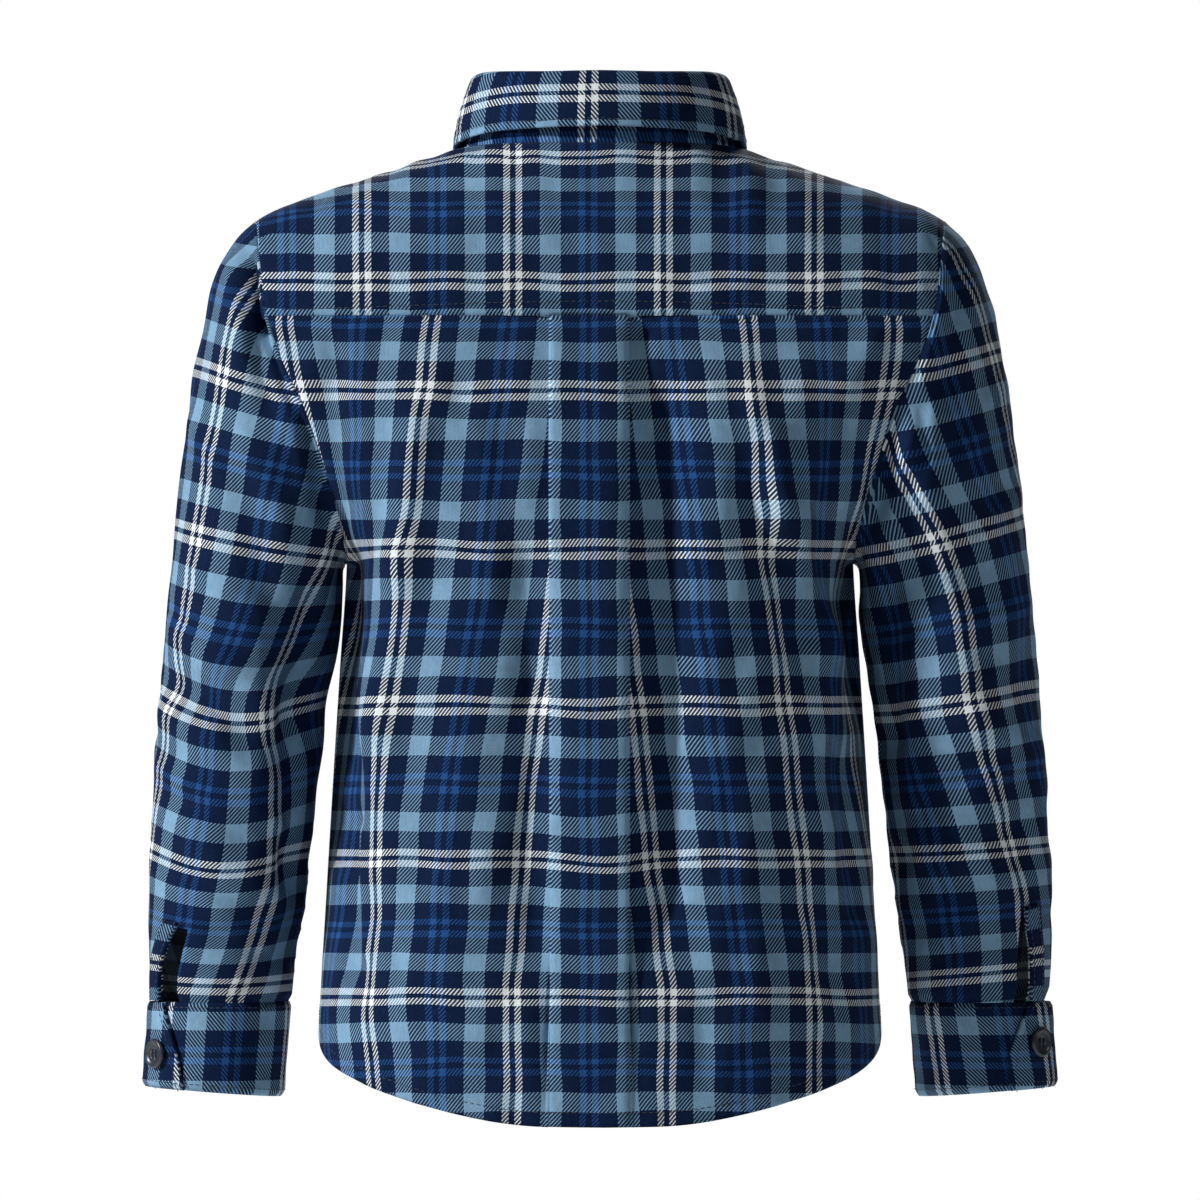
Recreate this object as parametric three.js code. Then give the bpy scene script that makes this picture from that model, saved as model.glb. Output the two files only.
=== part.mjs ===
// A small child's long-sleeved check flannel shirt, filled out as if it were worn.
// Millimetres. +Z is up, +Y is the back, +X is the wearer's left.
// The origin is the centre of the neck seam, level with that seam at the centre back.
import * as THREE from 'three';

// Walls and gaps
const CLOTH = 1.1;
const DOUBLE_CLOTH = 1.7;
const SEAM_SETBACK = 0.2;
const LAYER_GAP = 0.4;

// Neck
const NECK = { half: 55, back: 38, front: -46 };
const STAND_HEIGHT = 25.5;
const STAND_OVERLAP_TURN = 13;
const STAND_SPREAD = 1.1;

// Shoulders and yoke
const RIDGE = { top: 19.1, slope: 0.337, soften: 25, tipFrom: 128, tipRun: 17, tipDrop: 2.5 };
const YOKE_SEAM_Z = -73.5;

// Armholes: an upright ellipse in side view, whose distance from the centre changes with height
const ARMHOLE = { z: -105, halfHeight: 72, halfDepth: 50, frontSeamTurn: -32 };
const ARMHOLE_REACH = [
  { z: -177, x: 106.0 },
  { z: -162, x: 108.0 },
  { z: -139, x: 114.0 },
  { z: -111, x: 123.5 },
  { z: -92, x: 132.5 },
  { z: -72, x: 139.0 },
  { z: -50, x: 142.0 },
  { z: -33, x: 144.0 },
];

// Body, a row for each height. "square" is the power of the rounded-box section.
const BODY = [
  { z: -420, half: 118.6, back: 84.0, front: 83.0, square: 2.7 },
  { z: -368, half: 117.4, back: 82.0, front: 82.0, square: 2.7 },
  { z: -318, half: 114.7, back: 79.5, front: 81.0, square: 2.6 },
  { z: -267, half: 111.7, back: 77.5, front: 79.0, square: 2.6 },
  { z: -217, half: 108.6, back: 77.0, front: 77.0, square: 2.5 },
  { z: -177, half: 106.0, back: 76.5, front: 75.0, square: 2.45 },
  { z: -139, half: 106.0, back: 75.0, front: 72.0, square: 2.4 },
  { z: -105, half: 106.0, back: 70.5, front: 66.5, square: 2.35 },
  { z: -73.5, half: 106.0, back: 62.0, front: 58.0, square: 2.3 },
];

// Curved shirt-tail hem: height against the fraction of the way from the centre to the side seam
const BACK_HEM = [
  { part: 0, z: -410.6 },
  { part: 0.2, z: -409.5 },
  { part: 0.39, z: -403.7 },
  { part: 0.65, z: -391.5 },
  { part: 0.85, z: -379.8 },
  { part: 1, z: -368.0 },
];
const FRONT_HEM_RISE = 8;

// Box pleat at the centre back: the box lies on two turned-under folds that run out above the hem
const PLEAT = { x: 4.4, half: 16, depthTop: 15.3, depthHem: -3.2, step: 1.5, softenFrom: -358, softenTo: -410 };

// Back folds: a ridge (rise above 0) or trough from one end to the other, seen square from behind
const BACK_FOLDS = [
  { x0: 77.5, z0: -122, x1: 81.7, z1: -175, wide: 9, rise: 4.3 },
  { x0: 81.7, z0: -175, x1: 92.0, z1: -241, wide: 9, rise: 4.3 },
  { x0: 92.0, z0: -241, x1: 94.0, z1: -300, wide: 10, rise: 3.0 },
  { x0: 104.0, z0: -135, x1: 104.5, z1: -165, wide: 7, rise: 4.1 },
  { x0: 105.0, z0: -175, x1: 102.0, z1: -350, wide: 9, rise: -4.6 },
  { x0: 34.0, z0: -190, x1: 32.0, z1: -330, wide: 12, rise: -4.1 },
  { x0: -27.0, z0: -110, x1: -29.0, z1: -320, wide: 13, rise: -4.9 },
  { x0: -72.0, z0: -127, x1: -76.0, z1: -156, wide: 7, rise: 4.6 },
  { x0: -76.0, z0: -156, x1: -95.0, z1: -210, wide: 8, rise: 4.9 },
  { x0: -95.0, z0: -210, x1: -103.0, z1: -245, wide: 8, rise: 4.1 },
  { x0: -64.0, z0: -150, x1: -86.0, z1: -215, wide: 9, rise: -3.5 },
  { x0: -104.0, z0: -195, x1: -101.0, z1: -345, wide: 9, rise: -4.6 },
  { x0: -97.0, z0: -292, x1: -105.0, z1: -330, wide: 8, rise: 3.0 },
];

// Front folds, on the hidden side
const FRONT_FOLDS = [
  { x0: 60, z0: -110, x1: 78, z1: -200, wide: 11, rise: 3.5 },
  { x0: 84, z0: -230, x1: 92, z1: -350, wide: 11, rise: -3.8 },
  { x0: 40, z0: -250, x1: 46, z1: -380, wide: 13, rise: -3.2 },
  { x0: -66, z0: -120, x1: -80, z1: -190, wide: 10, rise: 3.8 },
  { x0: -52, z0: -215, x1: -60, z1: -360, wide: 12, rise: -3.5 },
  { x0: -90, z0: -210, x1: -98, z1: -300, wide: 10, rise: 3.0 },
];

// Sleeve rings, a row for each: the outer and inner rail in front view, half depth and middle in side view
const SLEEVE = [
  { xo: 144.5, zo: -33.2, xi: 107.6, zi: -177.2, depth: 50.0, y: 0.0 },
  { xo: 152.2, zo: -41.0, xi: 110.6, zi: -179.0, depth: 50.2, y: 0.0 },
  { xo: 159.6, zo: -53.3, xi: 110.9, zi: -188.0, depth: 49.0, y: 0.2 },
  { xo: 166.4, zo: -78.5, xi: 111.0, zi: -200.0, depth: 46.5, y: 0.8 },
  { xo: 171.4, zo: -106.0, xi: 112.6, zi: -214.0, depth: 44.0, y: 1.2 },
  { xo: 175.6, zo: -139.0, xi: 114.4, zi: -232.0, depth: 41.8, y: 1.4 },
  { xo: 179.0, zo: -171.0, xi: 116.4, zi: -250.0, depth: 40.0, y: 1.2 },
  { xo: 182.0, zo: -203.0, xi: 118.4, zi: -268.0, depth: 38.6, y: 0.4 },
  { xo: 184.4, zo: -232.0, xi: 120.2, zi: -285.0, depth: 37.4, y: -0.8 },
  { xo: 186.5, zo: -258.0, xi: 122.0, zi: -301.0, depth: 36.2, y: -2.2 },
  { xo: 188.0, zo: -283.0, xi: 123.8, zi: -316.0, depth: 34.8, y: -3.8 },
  { xo: 189.1, zo: -305.0, xi: 125.8, zi: -329.0, depth: 33.2, y: -5.4 },
  { xo: 189.6, zo: -323.0, xi: 127.6, zi: -339.0, depth: 31.4, y: -6.8 },
  { xo: 189.4, zo: -341.0, xi: 129.0, zi: -350.0, depth: 29.6, y: -7.8 },
  { xo: 188.3, zo: -359.8, xi: 130.2, zi: -360.7, depth: 28.0, y: -8.6 },
];
const SLEEVE_BLEND_RINGS = 4;

// Sleeve folds on the side seen from behind; the other side takes the same ones, lower and softer
const SLEEVE_FOLDS = {
  left: [
    { x0: 146.0, z0: -49, x1: 151.0, z1: -56, wide: 7, rise: 4.7 },
    { x0: 151.0, z0: -56, x1: 149.0, z1: -84, wide: 7, rise: 4.7 },
    { x0: 145.5, z0: -62, x1: 138.0, z1: -104, wide: 7, rise: -6.1 },
    { x0: 170.0, z0: -208, x1: 146.0, z1: -228, wide: 7, rise: 3.5 },
    { x0: 176.0, z0: -228, x1: 142.0, z1: -252, wide: 7, rise: -3.8 },
    { x0: 180.0, z0: -240, x1: 150.0, z1: -262, wide: 7, rise: 3.2 },
    { x0: 148.0, z0: -150, x1: 128.0, z1: -222, wide: 9, rise: -3.8 },
    { x0: 166.0, z0: -296, x1: 136.0, z1: -318, wide: 8, rise: 2.7 },
  ],
  right: [
    { x0: 146.0, z0: -56, x1: 145.0, z1: -100, wide: 7, rise: -4.9 },
    { x0: 132.0, z0: -128, x1: 137.0, z1: -150, wide: 7, rise: 5.4 },
    { x0: 140.0, z0: -170, x1: 160.0, z1: -240, wide: 9, rise: 3.5 },
    { x0: 132.0, z0: -205, x1: 160.0, z1: -216, wide: 7, rise: -3.2 },
    { x0: 138.0, z0: -236, x1: 172.0, z1: -250, wide: 7, rise: 3.0 },
    { x0: 180.0, z0: -215, x1: 176.0, z1: -300, wide: 8, rise: -3.5 },
    { x0: 134.0, z0: -296, x1: 166.0, z1: -306, wide: 8, rise: 2.7 },
  ],
};

// Open slit above each cuff: its middle, turned from straight back towards the outside, and half width
const SLIT = {
  left: [
    { z: -290, turn: 20, half: 5.4 },
    { z: -322, turn: 21, half: 0.7 },
    { z: -343, turn: 36, half: 4.6 },
    { z: -352, turn: 41, half: 4.6 },
    { z: -361, turn: 44, half: 4.8 },
  ],
  right: [
    { z: -290, turn: 36, half: 5.4 },
    { z: -320, turn: 37, half: 0.7 },
    { z: -343, turn: 33, half: 2.6 },
    { z: -352, turn: 34, half: 3.0 },
    { z: -361, turn: 36, half: 3.2 },
  ],
};
const SLIT_RINGS = 3;
const SLEEVE_PLACKET_WIDE = 7.2;

// Cuffs
const CUFF = { top: -361.4, outerDrop: 34.4, innerDrop: 38.6, halfTop: 29.0, halfHem: 28.9, depthTop: 28.0,
  depthHem: 26.5, x: 159.3, xHem: 161.8, y: -8.6, yHem: -9.6, overlap: 50, spread: 1.15 };
// Turn of the free edge from straight back, against the part of the way down the cuff
const CUFF_EDGE = {
  left: [
    { part: 0, turn: 52 },
    { part: 0.5, turn: 36 },
    { part: 1, turn: 25 },
  ],
  right: [
    { part: 0, turn: 42 },
    { part: 0.6, turn: 21 },
    { part: 1, turn: 20 },
  ],
};

// Buttons
const BUTTON = { radius: 6.3, thick: 2.0, sides: 20, hole: 0.95, holeSpread: 1.65, holeSides: 6 };
const FRONT_BUTTON_Z = [-62, -116, -170, -224, -278, -332];
const CUFF_BUTTON = {
  left: { turn: 54, z: -382 },
  right: { turn: 50, z: -377 },
};

// Front edges
const FRONT_OVERLAP = 14;
const FRONT_TUCK = 1.9;
const PLACKET_WIDE = 28;

const COLOURS = {
  navy: { color: 0x1a2b4a, roughness: 0.95, metalness: 0 },
  collar: { color: 0x21355a, roughness: 0.95, metalness: 0 },
  trim: { color: 0x2c4570, roughness: 0.95, metalness: 0 },
  button: { color: 0x2b2f3a, roughness: 0.45, metalness: 0 },
};

const rad = THREE.MathUtils.degToRad;
const lerp = THREE.MathUtils.lerp;
const clamp = THREE.MathUtils.clamp;
const smooth = THREE.MathUtils.smoothstep;

// Reads one column of a table at any place between its rows, on a smooth curve through them
function read(table, key, name, at) {
  const up = table[table.length - 1][key] > table[0][key];
  const rows = up ? table : [...table].reverse();
  const last = rows.length - 1;
  if (at <= rows[0][key]) return rows[0][name];
  if (at >= rows[last][key]) return rows[last][name];
  let i = 0;
  while (rows[i + 1][key] < at) i += 1;
  const slope = (k) => {
    const a = rows[Math.max(k - 1, 0)];
    const b = rows[Math.min(k + 1, last)];
    return (b[name] - a[name]) / (b[key] - a[key]);
  };
  const run = rows[i + 1][key] - rows[i][key];
  const t = (at - rows[i][key]) / run;
  const t2 = t * t;
  const t3 = t2 * t;
  return (2 * t3 - 3 * t2 + 1) * rows[i][name] + (t3 - 2 * t2 + t) * run * slope(i)
    + (3 * t2 - 2 * t3) * rows[i + 1][name] + (t3 - t2) * run * slope(i + 1);
}

// Height of all folds of a list at a place seen in front view
function relief(folds, x, z) {
  let height = 0;
  for (const fold of folds) {
    const dx = fold.x1 - fold.x0;
    const dz = fold.z1 - fold.z0;
    const length = Math.hypot(dx, dz);
    const along = ((x - fold.x0) * dx + (z - fold.z0) * dz) / length;
    const past = Math.max(-along, along - length, 0);
    const beside = ((x - fold.x0) * dz - (z - fold.z0) * dx) / length;
    height += fold.rise * Math.exp(-((beside / fold.wide) ** 2) - (past / (1.6 * fold.wide)) ** 2);
  }
  return height;
}

// A closed wall on a grid of points, with mitred corners, so tight folds keep their thickness.
// "round" joins the last column to the first, and "cut" leaves cells out.
function wall(rows, columns, place, thickness, { round = false, cut = () => false } = {}) {
  const grid = [];
  for (let i = 0; i < rows; i += 1) {
    for (let j = 0; j < columns; j += 1) grid.push(place(i, j));
  }
  const at = (i, j) => grid[i * columns + j];
  const across = (i, j, side) => {
    let a = j + Math.min(side, 0);
    let b = a + 1;
    if (round) {
      a = (a + columns) % columns;
      b %= columns;
    }
    if (a < 0 || b >= columns) return null;
    return new THREE.Vector3().subVectors(at(i, b), at(i, a));
  };
  const outside = [];
  const inside = [];
  for (let i = 0; i < rows; i += 1) {
    for (let j = 0; j < columns; j += 1) {
      const up = new THREE.Vector3().subVectors(at(Math.min(i + 1, rows - 1), j), at(Math.max(i - 1, 0), j));
      const normals = [across(i, j, -1), across(i, j, 1)].filter(Boolean)
        .map((edge) => edge.cross(up).normalize());
      const mitre = normals[0].clone();
      if (normals.length > 1) mitre.add(normals[1]).divideScalar(Math.max(1 + normals[0].dot(normals[1]), 0.6));
      outside.push(at(i, j).clone().addScaledVector(mitre, thickness / 2));
      inside.push(at(i, j).clone().addScaledVector(mitre, -thickness / 2));
    }
  }
  const cellColumns = round ? columns : columns - 1;
  const present = (i, j) => {
    const k = round ? (j + columns) % columns : j;
    return i >= 0 && i < rows - 1 && k >= 0 && k < cellColumns && !cut(i, k);
  };
  const triangles = [];
  const push = (a, b, c) => triangles.push(a.x, a.y, a.z, b.x, b.y, b.z, c.x, c.y, c.z);
  const quad = (a, b, c, d) => {
    if (a.distanceTo(c) <= b.distanceTo(d)) {
      push(a, b, c);
      push(a, c, d);
    } else {
      push(a, b, d);
      push(b, c, d);
    }
  };
  for (let i = 0; i < rows - 1; i += 1) {
    for (let j = 0; j < cellColumns; j += 1) {
      if (!present(i, j)) continue;
      const k = (j + 1) % columns;
      const [a, b, c, d] = [i * columns + j, i * columns + k, (i + 1) * columns + k, (i + 1) * columns + j];
      quad(outside[a], outside[b], outside[c], outside[d]);
      quad(inside[d], inside[c], inside[b], inside[a]);
      const sides = [[i - 1, j, a, b], [i, j + 1, b, c], [i + 1, j, c, d], [i, j - 1, d, a]];
      for (const [ni, nj, p, q] of sides) {
        if (!present(ni, nj)) quad(outside[q], outside[p], inside[p], inside[q]);
      }
    }
  }
  const geometry = new THREE.BufferGeometry();
  geometry.setAttribute('position', new THREE.Float32BufferAttribute(triangles, 3));
  geometry.computeVertexNormals();
  return geometry;
}

// Armhole edge at a turn round it: 0 at the shoulder, 90 at the back, 180 at the underarm
function armhole(turn) {
  const z = ARMHOLE.z + ARMHOLE.halfHeight * Math.cos(rad(turn));
  return new THREE.Vector3(read(ARMHOLE_REACH, 'z', 'x', z), ARMHOLE.halfDepth * Math.sin(rad(turn)), z);
}

// Level section of the back (side 1) or front (side -1): from the middle to the side seam or armhole
const SECTION_STEPS = 60;
function section(side, z) {
  const depth = read(BODY, 'z', side > 0 ? 'back' : 'front', z);
  const power = 2 / read(BODY, 'z', 'square', z);
  const high = (z - ARMHOLE.z) / ARMHOLE.halfHeight;
  const open = high > -1;
  const edgeX = open ? read(ARMHOLE_REACH, 'z', 'x', z) : read(BODY, 'z', 'half', z);
  const edgeY = open ? ARMHOLE.halfDepth * Math.sqrt(Math.max(1 - high * high, 0)) : 0;
  const end = Math.acos((edgeY / depth) ** (1 / power));
  const half = edgeX / Math.sin(end) ** power;
  const points = [];
  const lengths = [0];
  for (let k = 0; k <= SECTION_STEPS; k += 1) {
    const turn = (end * k) / SECTION_STEPS;
    points.push([half * Math.sin(turn) ** power, depth * Math.max(Math.cos(turn), 0) ** power]);
    if (k > 0) {
      const step = Math.hypot(points[k][0] - points[k - 1][0], points[k][1] - points[k - 1][1]);
      lengths.push(lengths[k - 1] + step);
    }
  }
  const total = lengths[SECTION_STEPS];
  const place = (distance, level) => {
    const mirror = distance < 0 ? -1 : 1;
    const wanted = clamp(Math.abs(distance), 0, total);
    let k = 0;
    while (k < SECTION_STEPS - 1 && lengths[k + 1] < wanted) k += 1;
    const t = (wanted - lengths[k]) / (lengths[k + 1] - lengths[k]);
    const [x0, y0] = points[k];
    const [x1, y1] = points[k + 1];
    const beyond = Math.abs(distance) - wanted;
    const length = lengths[k + 1] - lengths[k];
    const tx = (x1 - x0) / length;
    const ty = (y1 - y0) / length;
    const x = lerp(x0, x1, t) + tx * beyond - ty * level;
    const y = lerp(y0, y1, t) + ty * beyond + tx * level;
    return new THREE.Vector3(mirror * x, side * y, z);
  };
  const yAt = (x) => depth * Math.max(1 - Math.min(Math.abs(x) / half, 1) ** (2 / power), 0) ** (power / 2);
  return { total, place, yAt };
}

// Shoulder form above the yoke seam: x across, turn 0 on the ridge, 90 at the back seam, -90 in front
const topBack = section(1, YOKE_SEAM_Z);
const topFront = section(-1, YOKE_SEAM_Z);
function shoulderDepth(x, turn) {
  return turn >= 0 ? topBack.yAt(x) : topFront.yAt(x);
}
function shoulder(x, turn) {
  const tip = Math.max(Math.abs(x) - RIDGE.tipFrom, 0) / RIDGE.tipRun;
  const ridge = RIDGE.top - RIDGE.slope * Math.hypot(x, RIDGE.soften) - RIDGE.tipDrop * tip * tip;
  const y = shoulderDepth(x, turn) * Math.sin(rad(turn));
  return new THREE.Vector3(x, y, YOKE_SEAM_Z + (ridge - YOKE_SEAM_Z) * Math.cos(rad(turn)));
}
function shoulderTurn(x, y) {
  return THREE.MathUtils.radToDeg(Math.asin(clamp(y / shoulderDepth(x, y), -1, 1)));
}

// A strip of the shoulder form from one edge point to another, which meets both exactly
function shoulderPath(from, to) {
  const turnFrom = shoulderTurn(from.x, from.y);
  const turnTo = shoulderTurn(to.x, to.y);
  const offFrom = from.clone().sub(shoulder(from.x, turnFrom));
  const offTo = to.clone().sub(shoulder(to.x, turnTo));
  return (t) => shoulder(lerp(from.x, to.x, t), lerp(turnFrom, turnTo, t))
    .addScaledVector(offFrom, (1 - t) ** 2)
    .addScaledVector(offTo, t * t);
}

// Neck seam: turn 0 at the back, 90 at the left side, 180 at the front
const NECK_DROP = [
  { turn: 0, z: 0 },
  { turn: 45, z: -0.8 },
  { turn: 90, z: -2.5 },
  { turn: 123, z: -9.5 },
  { turn: 150, z: -22.5 },
  { turn: 165, z: -28 },
  { turn: 180, z: -30 },
];
function neck(turn, out = 0) {
  const middle = (NECK.back + NECK.front) / 2;
  const deep = (NECK.back - NECK.front) / 2;
  const z = read(NECK_DROP, 'turn', 'z', 180 - Math.abs(180 - Math.abs(turn)));
  return new THREE.Vector3((NECK.half + out) * Math.sin(rad(turn)), middle + (deep + out) * Math.cos(rad(turn)), z);
}
const NECK_FRONT_TURN = 123;
const NECK_CORNER_TURN = 36;

const shirt = new THREE.Group();
function add(name, geometry, finish) {
  const mesh = new THREE.Mesh(geometry, new THREE.MeshStandardMaterial(COLOURS[finish]));
  mesh.name = name;
  shirt.add(mesh);
  return mesh;
}
function mirrored(point, side) {
  return new THREE.Vector3(point.x * side, point.y, point.z);
}

// Back panel
const BACK_ROWS = 25;
const BACK_SIDE_COLUMNS = 13;
function pleatHalf(z) {
  const depth = lerp(PLEAT.depthHem, PLEAT.depthTop, clamp((z + 410) / (YOKE_SEAM_Z + 410), 0, 1));
  const step = PLEAT.step * (1 - 0.75 * (1 - smooth(z, PLEAT.softenTo, PLEAT.softenFrom)));
  const fold = Math.abs(depth) < 0.05 ? 0.05 : depth;
  const lean = 0.45 * step * Math.max(1 - Math.abs(fold) / 1.2, 0);
  const half = PLEAT.half;
  return [
    { s: half + Math.max(-fold, 0) + 9, h: -0.6 * step },
    { s: half + Math.max(-fold, 0) + 2.5, h: -step },
    { s: half - fold, h: -step },
    { s: half - fold, h: -lean },
    { s: half, h: lean },
    { s: half, h: step },
    { s: half - 7, h: step },
  ];
}
function backColumns(z) {
  const curve = section(1, z);
  const half = pleatHalf(z);
  const run = (side) => {
    const edge = side * (curve.total - SEAM_SETBACK);
    const inner = PLEAT.x + side * half[0].s;
    const list = [];
    for (let k = 0; k < BACK_SIDE_COLUMNS; k += 1) {
      const t = k / BACK_SIDE_COLUMNS;
      list.push({ s: lerp(edge, inner, t), h: -0.6 * PLEAT.step * smooth(t, 0.7, 1) });
    }
    for (const point of half) list.push({ s: PLEAT.x + side * point.s, h: point.h });
    return list;
  };
  return { curve, list: [...run(1), { s: PLEAT.x, h: half[5].h }, ...run(-1).reverse()] };
}
const BACK_COLUMNS = backColumns(-200).list.length;
function backZ(column, row) {
  const { curve, list } = backColumns(-300);
  const part = Math.min(Math.abs(list[column].s) / curve.total, 1);
  const hem = read(BACK_HEM, 'part', 'z', part);
  return lerp(hem, YOKE_SEAM_Z - SEAM_SETBACK, row / (BACK_ROWS - 1));
}
function backPoint(row, column) {
  const z = backZ(column, row);
  const { curve, list } = backColumns(z);
  const { s, h } = list[column];
  const flat = curve.place(s, 0);
  const edges = smooth(curve.total - Math.abs(s), 0, 14) * smooth(YOKE_SEAM_Z - z, 0, 25);
  return curve.place(s, h + relief(BACK_FOLDS, flat.x, z) * edges);
}
add('back_panel', wall(BACK_ROWS, BACK_COLUMNS, backPoint, CLOTH), 'navy');

// Yoke: columns run from the neck seam out to the armholes and the back seam
const YOKE_ROWS = 8;
const YOKE_ARM_COLUMNS = 7;
const YOKE_BACK_COLUMNS = 9;
const BACK_CORNER_TURN = THREE.MathUtils.radToDeg(Math.acos((YOKE_SEAM_Z - ARMHOLE.z) / ARMHOLE.halfHeight));
const yokeHalf = [];
for (let k = 0; k < YOKE_ARM_COLUMNS; k += 1) {
  const t = k / YOKE_ARM_COLUMNS;
  const edge = armhole(lerp(ARMHOLE.frontSeamTurn, BACK_CORNER_TURN, t));
  yokeHalf.push({ turn: lerp(NECK_FRONT_TURN, NECK_CORNER_TURN, t), edge });
}
for (let k = 0; k < YOKE_BACK_COLUMNS; k += 1) {
  const t = k / YOKE_BACK_COLUMNS;
  yokeHalf.push({ turn: NECK_CORNER_TURN * (1 - t), edge: topBack.place(topBack.total * (1 - t), 0) });
}
const yokeColumns = [
  ...yokeHalf,
  { turn: 0, edge: topBack.place(0, 0) },
  ...yokeHalf.map(({ turn, edge }) => ({ turn: -turn, edge: mirrored(edge, -1) })).reverse(),
];
const NECK_SETBACK = DOUBLE_CLOTH / 2 + LAYER_GAP + 0.2;
function yokePoint(row, column) {
  const last = yokeColumns.length - 1;
  const { turn, edge } = yokeColumns[column];
  const from = neck(turn);
  const length = from.distanceTo(edge);
  const t = lerp(NECK_SETBACK / length, 1 - SEAM_SETBACK / length, row / (YOKE_ROWS - 1));
  const point = shoulderPath(from, edge)(t);
  if (column === 0 || column === last) point.y += SEAM_SETBACK;
  return point;
}
add('yoke', wall(YOKE_ROWS, yokeColumns.length, (i, j) => yokePoint(YOKE_ROWS - 1 - i, j), CLOTH), 'navy');

// Fronts: level rows up to the chest line, then the shoulder form up to the neck and front yoke seam
const FRONT_LOW_ROWS = 16;
const FRONT_TOP_ROWS = 6;
const FRONT_COLUMNS = 15;
const FRONT_NECK_PART = 0.45;
function frontTop(part) {
  if (part <= FRONT_NECK_PART) {
    const edgeTurn = 180 + THREE.MathUtils.radToDeg(Math.asin(FRONT_OVERLAP / NECK.half));
    return neck(lerp(edgeTurn, NECK_FRONT_TURN, part / FRONT_NECK_PART));
  }
  const t = (part - FRONT_NECK_PART) / (1 - FRONT_NECK_PART);
  return shoulderPath(neck(NECK_FRONT_TURN), armhole(ARMHOLE.frontSeamTurn))(t);
}
function frontPoint(row, column, side, tuck) {
  const part = column / (FRONT_COLUMNS - 1);
  const centre = -FRONT_OVERLAP;
  const tucked = -tuck * (1 - smooth(part, 0.18, 0.38));
  if (row < FRONT_LOW_ROWS) {
    const hem = read(BACK_HEM, 'part', 'z', part) + FRONT_HEM_RISE * (1 - part);
    const z = lerp(hem, YOKE_SEAM_Z, row / FRONT_LOW_ROWS);
    const curve = section(-1, z);
    const s = lerp(centre, curve.total - SEAM_SETBACK, part);
    const flat = curve.place(s, 0);
    const edges = smooth(curve.total - Math.abs(s), 0, 14) * smooth(YOKE_SEAM_Z - z, 0, 25) * smooth(s, 16, 30);
    return mirrored(curve.place(s, tucked + relief(FRONT_FOLDS, flat.x * side, z) * edges), side);
  }
  const s = lerp(centre, topFront.total - SEAM_SETBACK, part);
  const from = topFront.place(s, 0);
  const to = frontTop(part);
  const length = from.distanceTo(to);
  const t = ((row - FRONT_LOW_ROWS) / FRONT_TOP_ROWS) * (1 - 0.6 / length);
  const point = shoulderPath(from, to)(t);
  const edge = armhole(lerp(-BACK_CORNER_TURN, ARMHOLE.frontSeamTurn, t));
  const drawn = shoulderPath(topFront.place(topFront.total, 0), frontTop(1))(t);
  point.add(edge.sub(drawn).multiplyScalar(part ** 3));
  point.y -= tucked;
  return mirrored(point, side);
}
function frontGeometry(side, tuck) {
  const rows = FRONT_LOW_ROWS + FRONT_TOP_ROWS + 1;
  const place = (i, j) => frontPoint(i, side > 0 ? j : FRONT_COLUMNS - 1 - j, side, tuck);
  return wall(rows, FRONT_COLUMNS, place, CLOTH);
}
add('front_left', frontGeometry(1, 0), 'navy');
add('front_right', frontGeometry(-1, FRONT_TUCK), 'navy');

// Button strip on the left front, laid on the panel
const PLACKET_LEVEL = CLOTH / 2 + DOUBLE_CLOTH / 2 + LAYER_GAP;
const PLACKET_COLUMNS = 4;
const PLACKET_TOP = 0.955;
function placketPoint(row, column) {
  const rows = FRONT_LOW_ROWS + FRONT_TOP_ROWS;
  const x = -FRONT_OVERLAP + 0.6 + (PLACKET_WIDE * column) / (PLACKET_COLUMNS - 1);
  const low = row < FRONT_LOW_ROWS;
  const z = low ? lerp(BACK_HEM[0].z + FRONT_HEM_RISE + 0.6, YOKE_SEAM_Z, row / FRONT_LOW_ROWS) : YOKE_SEAM_Z;
  if (low) return section(-1, z).place(x, PLACKET_LEVEL);
  const t = ((row - FRONT_LOW_ROWS) / (rows - FRONT_LOW_ROWS)) * PLACKET_TOP;
  const from = topFront.place(x, 0);
  const turn = 180 - THREE.MathUtils.radToDeg(Math.asin(x / NECK.half));
  const point = shoulderPath(from, neck(turn))(t);
  const ahead = shoulderPath(from, neck(turn))(Math.min(t + 0.02, 1));
  const up = ahead.sub(point).normalize();
  const out = new THREE.Vector3(1, 0, 0).cross(up).normalize();
  return point.addScaledVector(out, PLACKET_LEVEL);
}
add('front_placket', wall(FRONT_LOW_ROWS + FRONT_TOP_ROWS + 1, PLACKET_COLUMNS, placketPoint, DOUBLE_CLOTH), 'navy');

// Collar stand: a band round the neck seam, its left end over its right end
const STAND_ROWS = 4;
const STAND_COLUMNS = 33;
const STAND_LEAN = 4.5;
const STAND_LIFT = 0.5;
const STAND_FRONT_SHORT = 7;
function standPoint(part, column, out = 0) {
  const end = 180 + STAND_OVERLAP_TURN;
  const turn = lerp(end, -end, column);
  const layer = STAND_SPREAD * (smooth(turn, 140, 165) - smooth(-turn, 140, 165));
  const point = neck(turn, layer + out - STAND_LEAN * part);
  const tall = STAND_HEIGHT - STAND_FRONT_SHORT * smooth(Math.abs(turn), 90, 175);
  point.z += STAND_LIFT + tall * part;
  return point;
}
add('collar_stand', wall(STAND_ROWS, STAND_COLUMNS,
  (i, j) => standPoint(i / (STAND_ROWS - 1), j / (STAND_COLUMNS - 1)), DOUBLE_CLOTH), 'collar');

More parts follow.
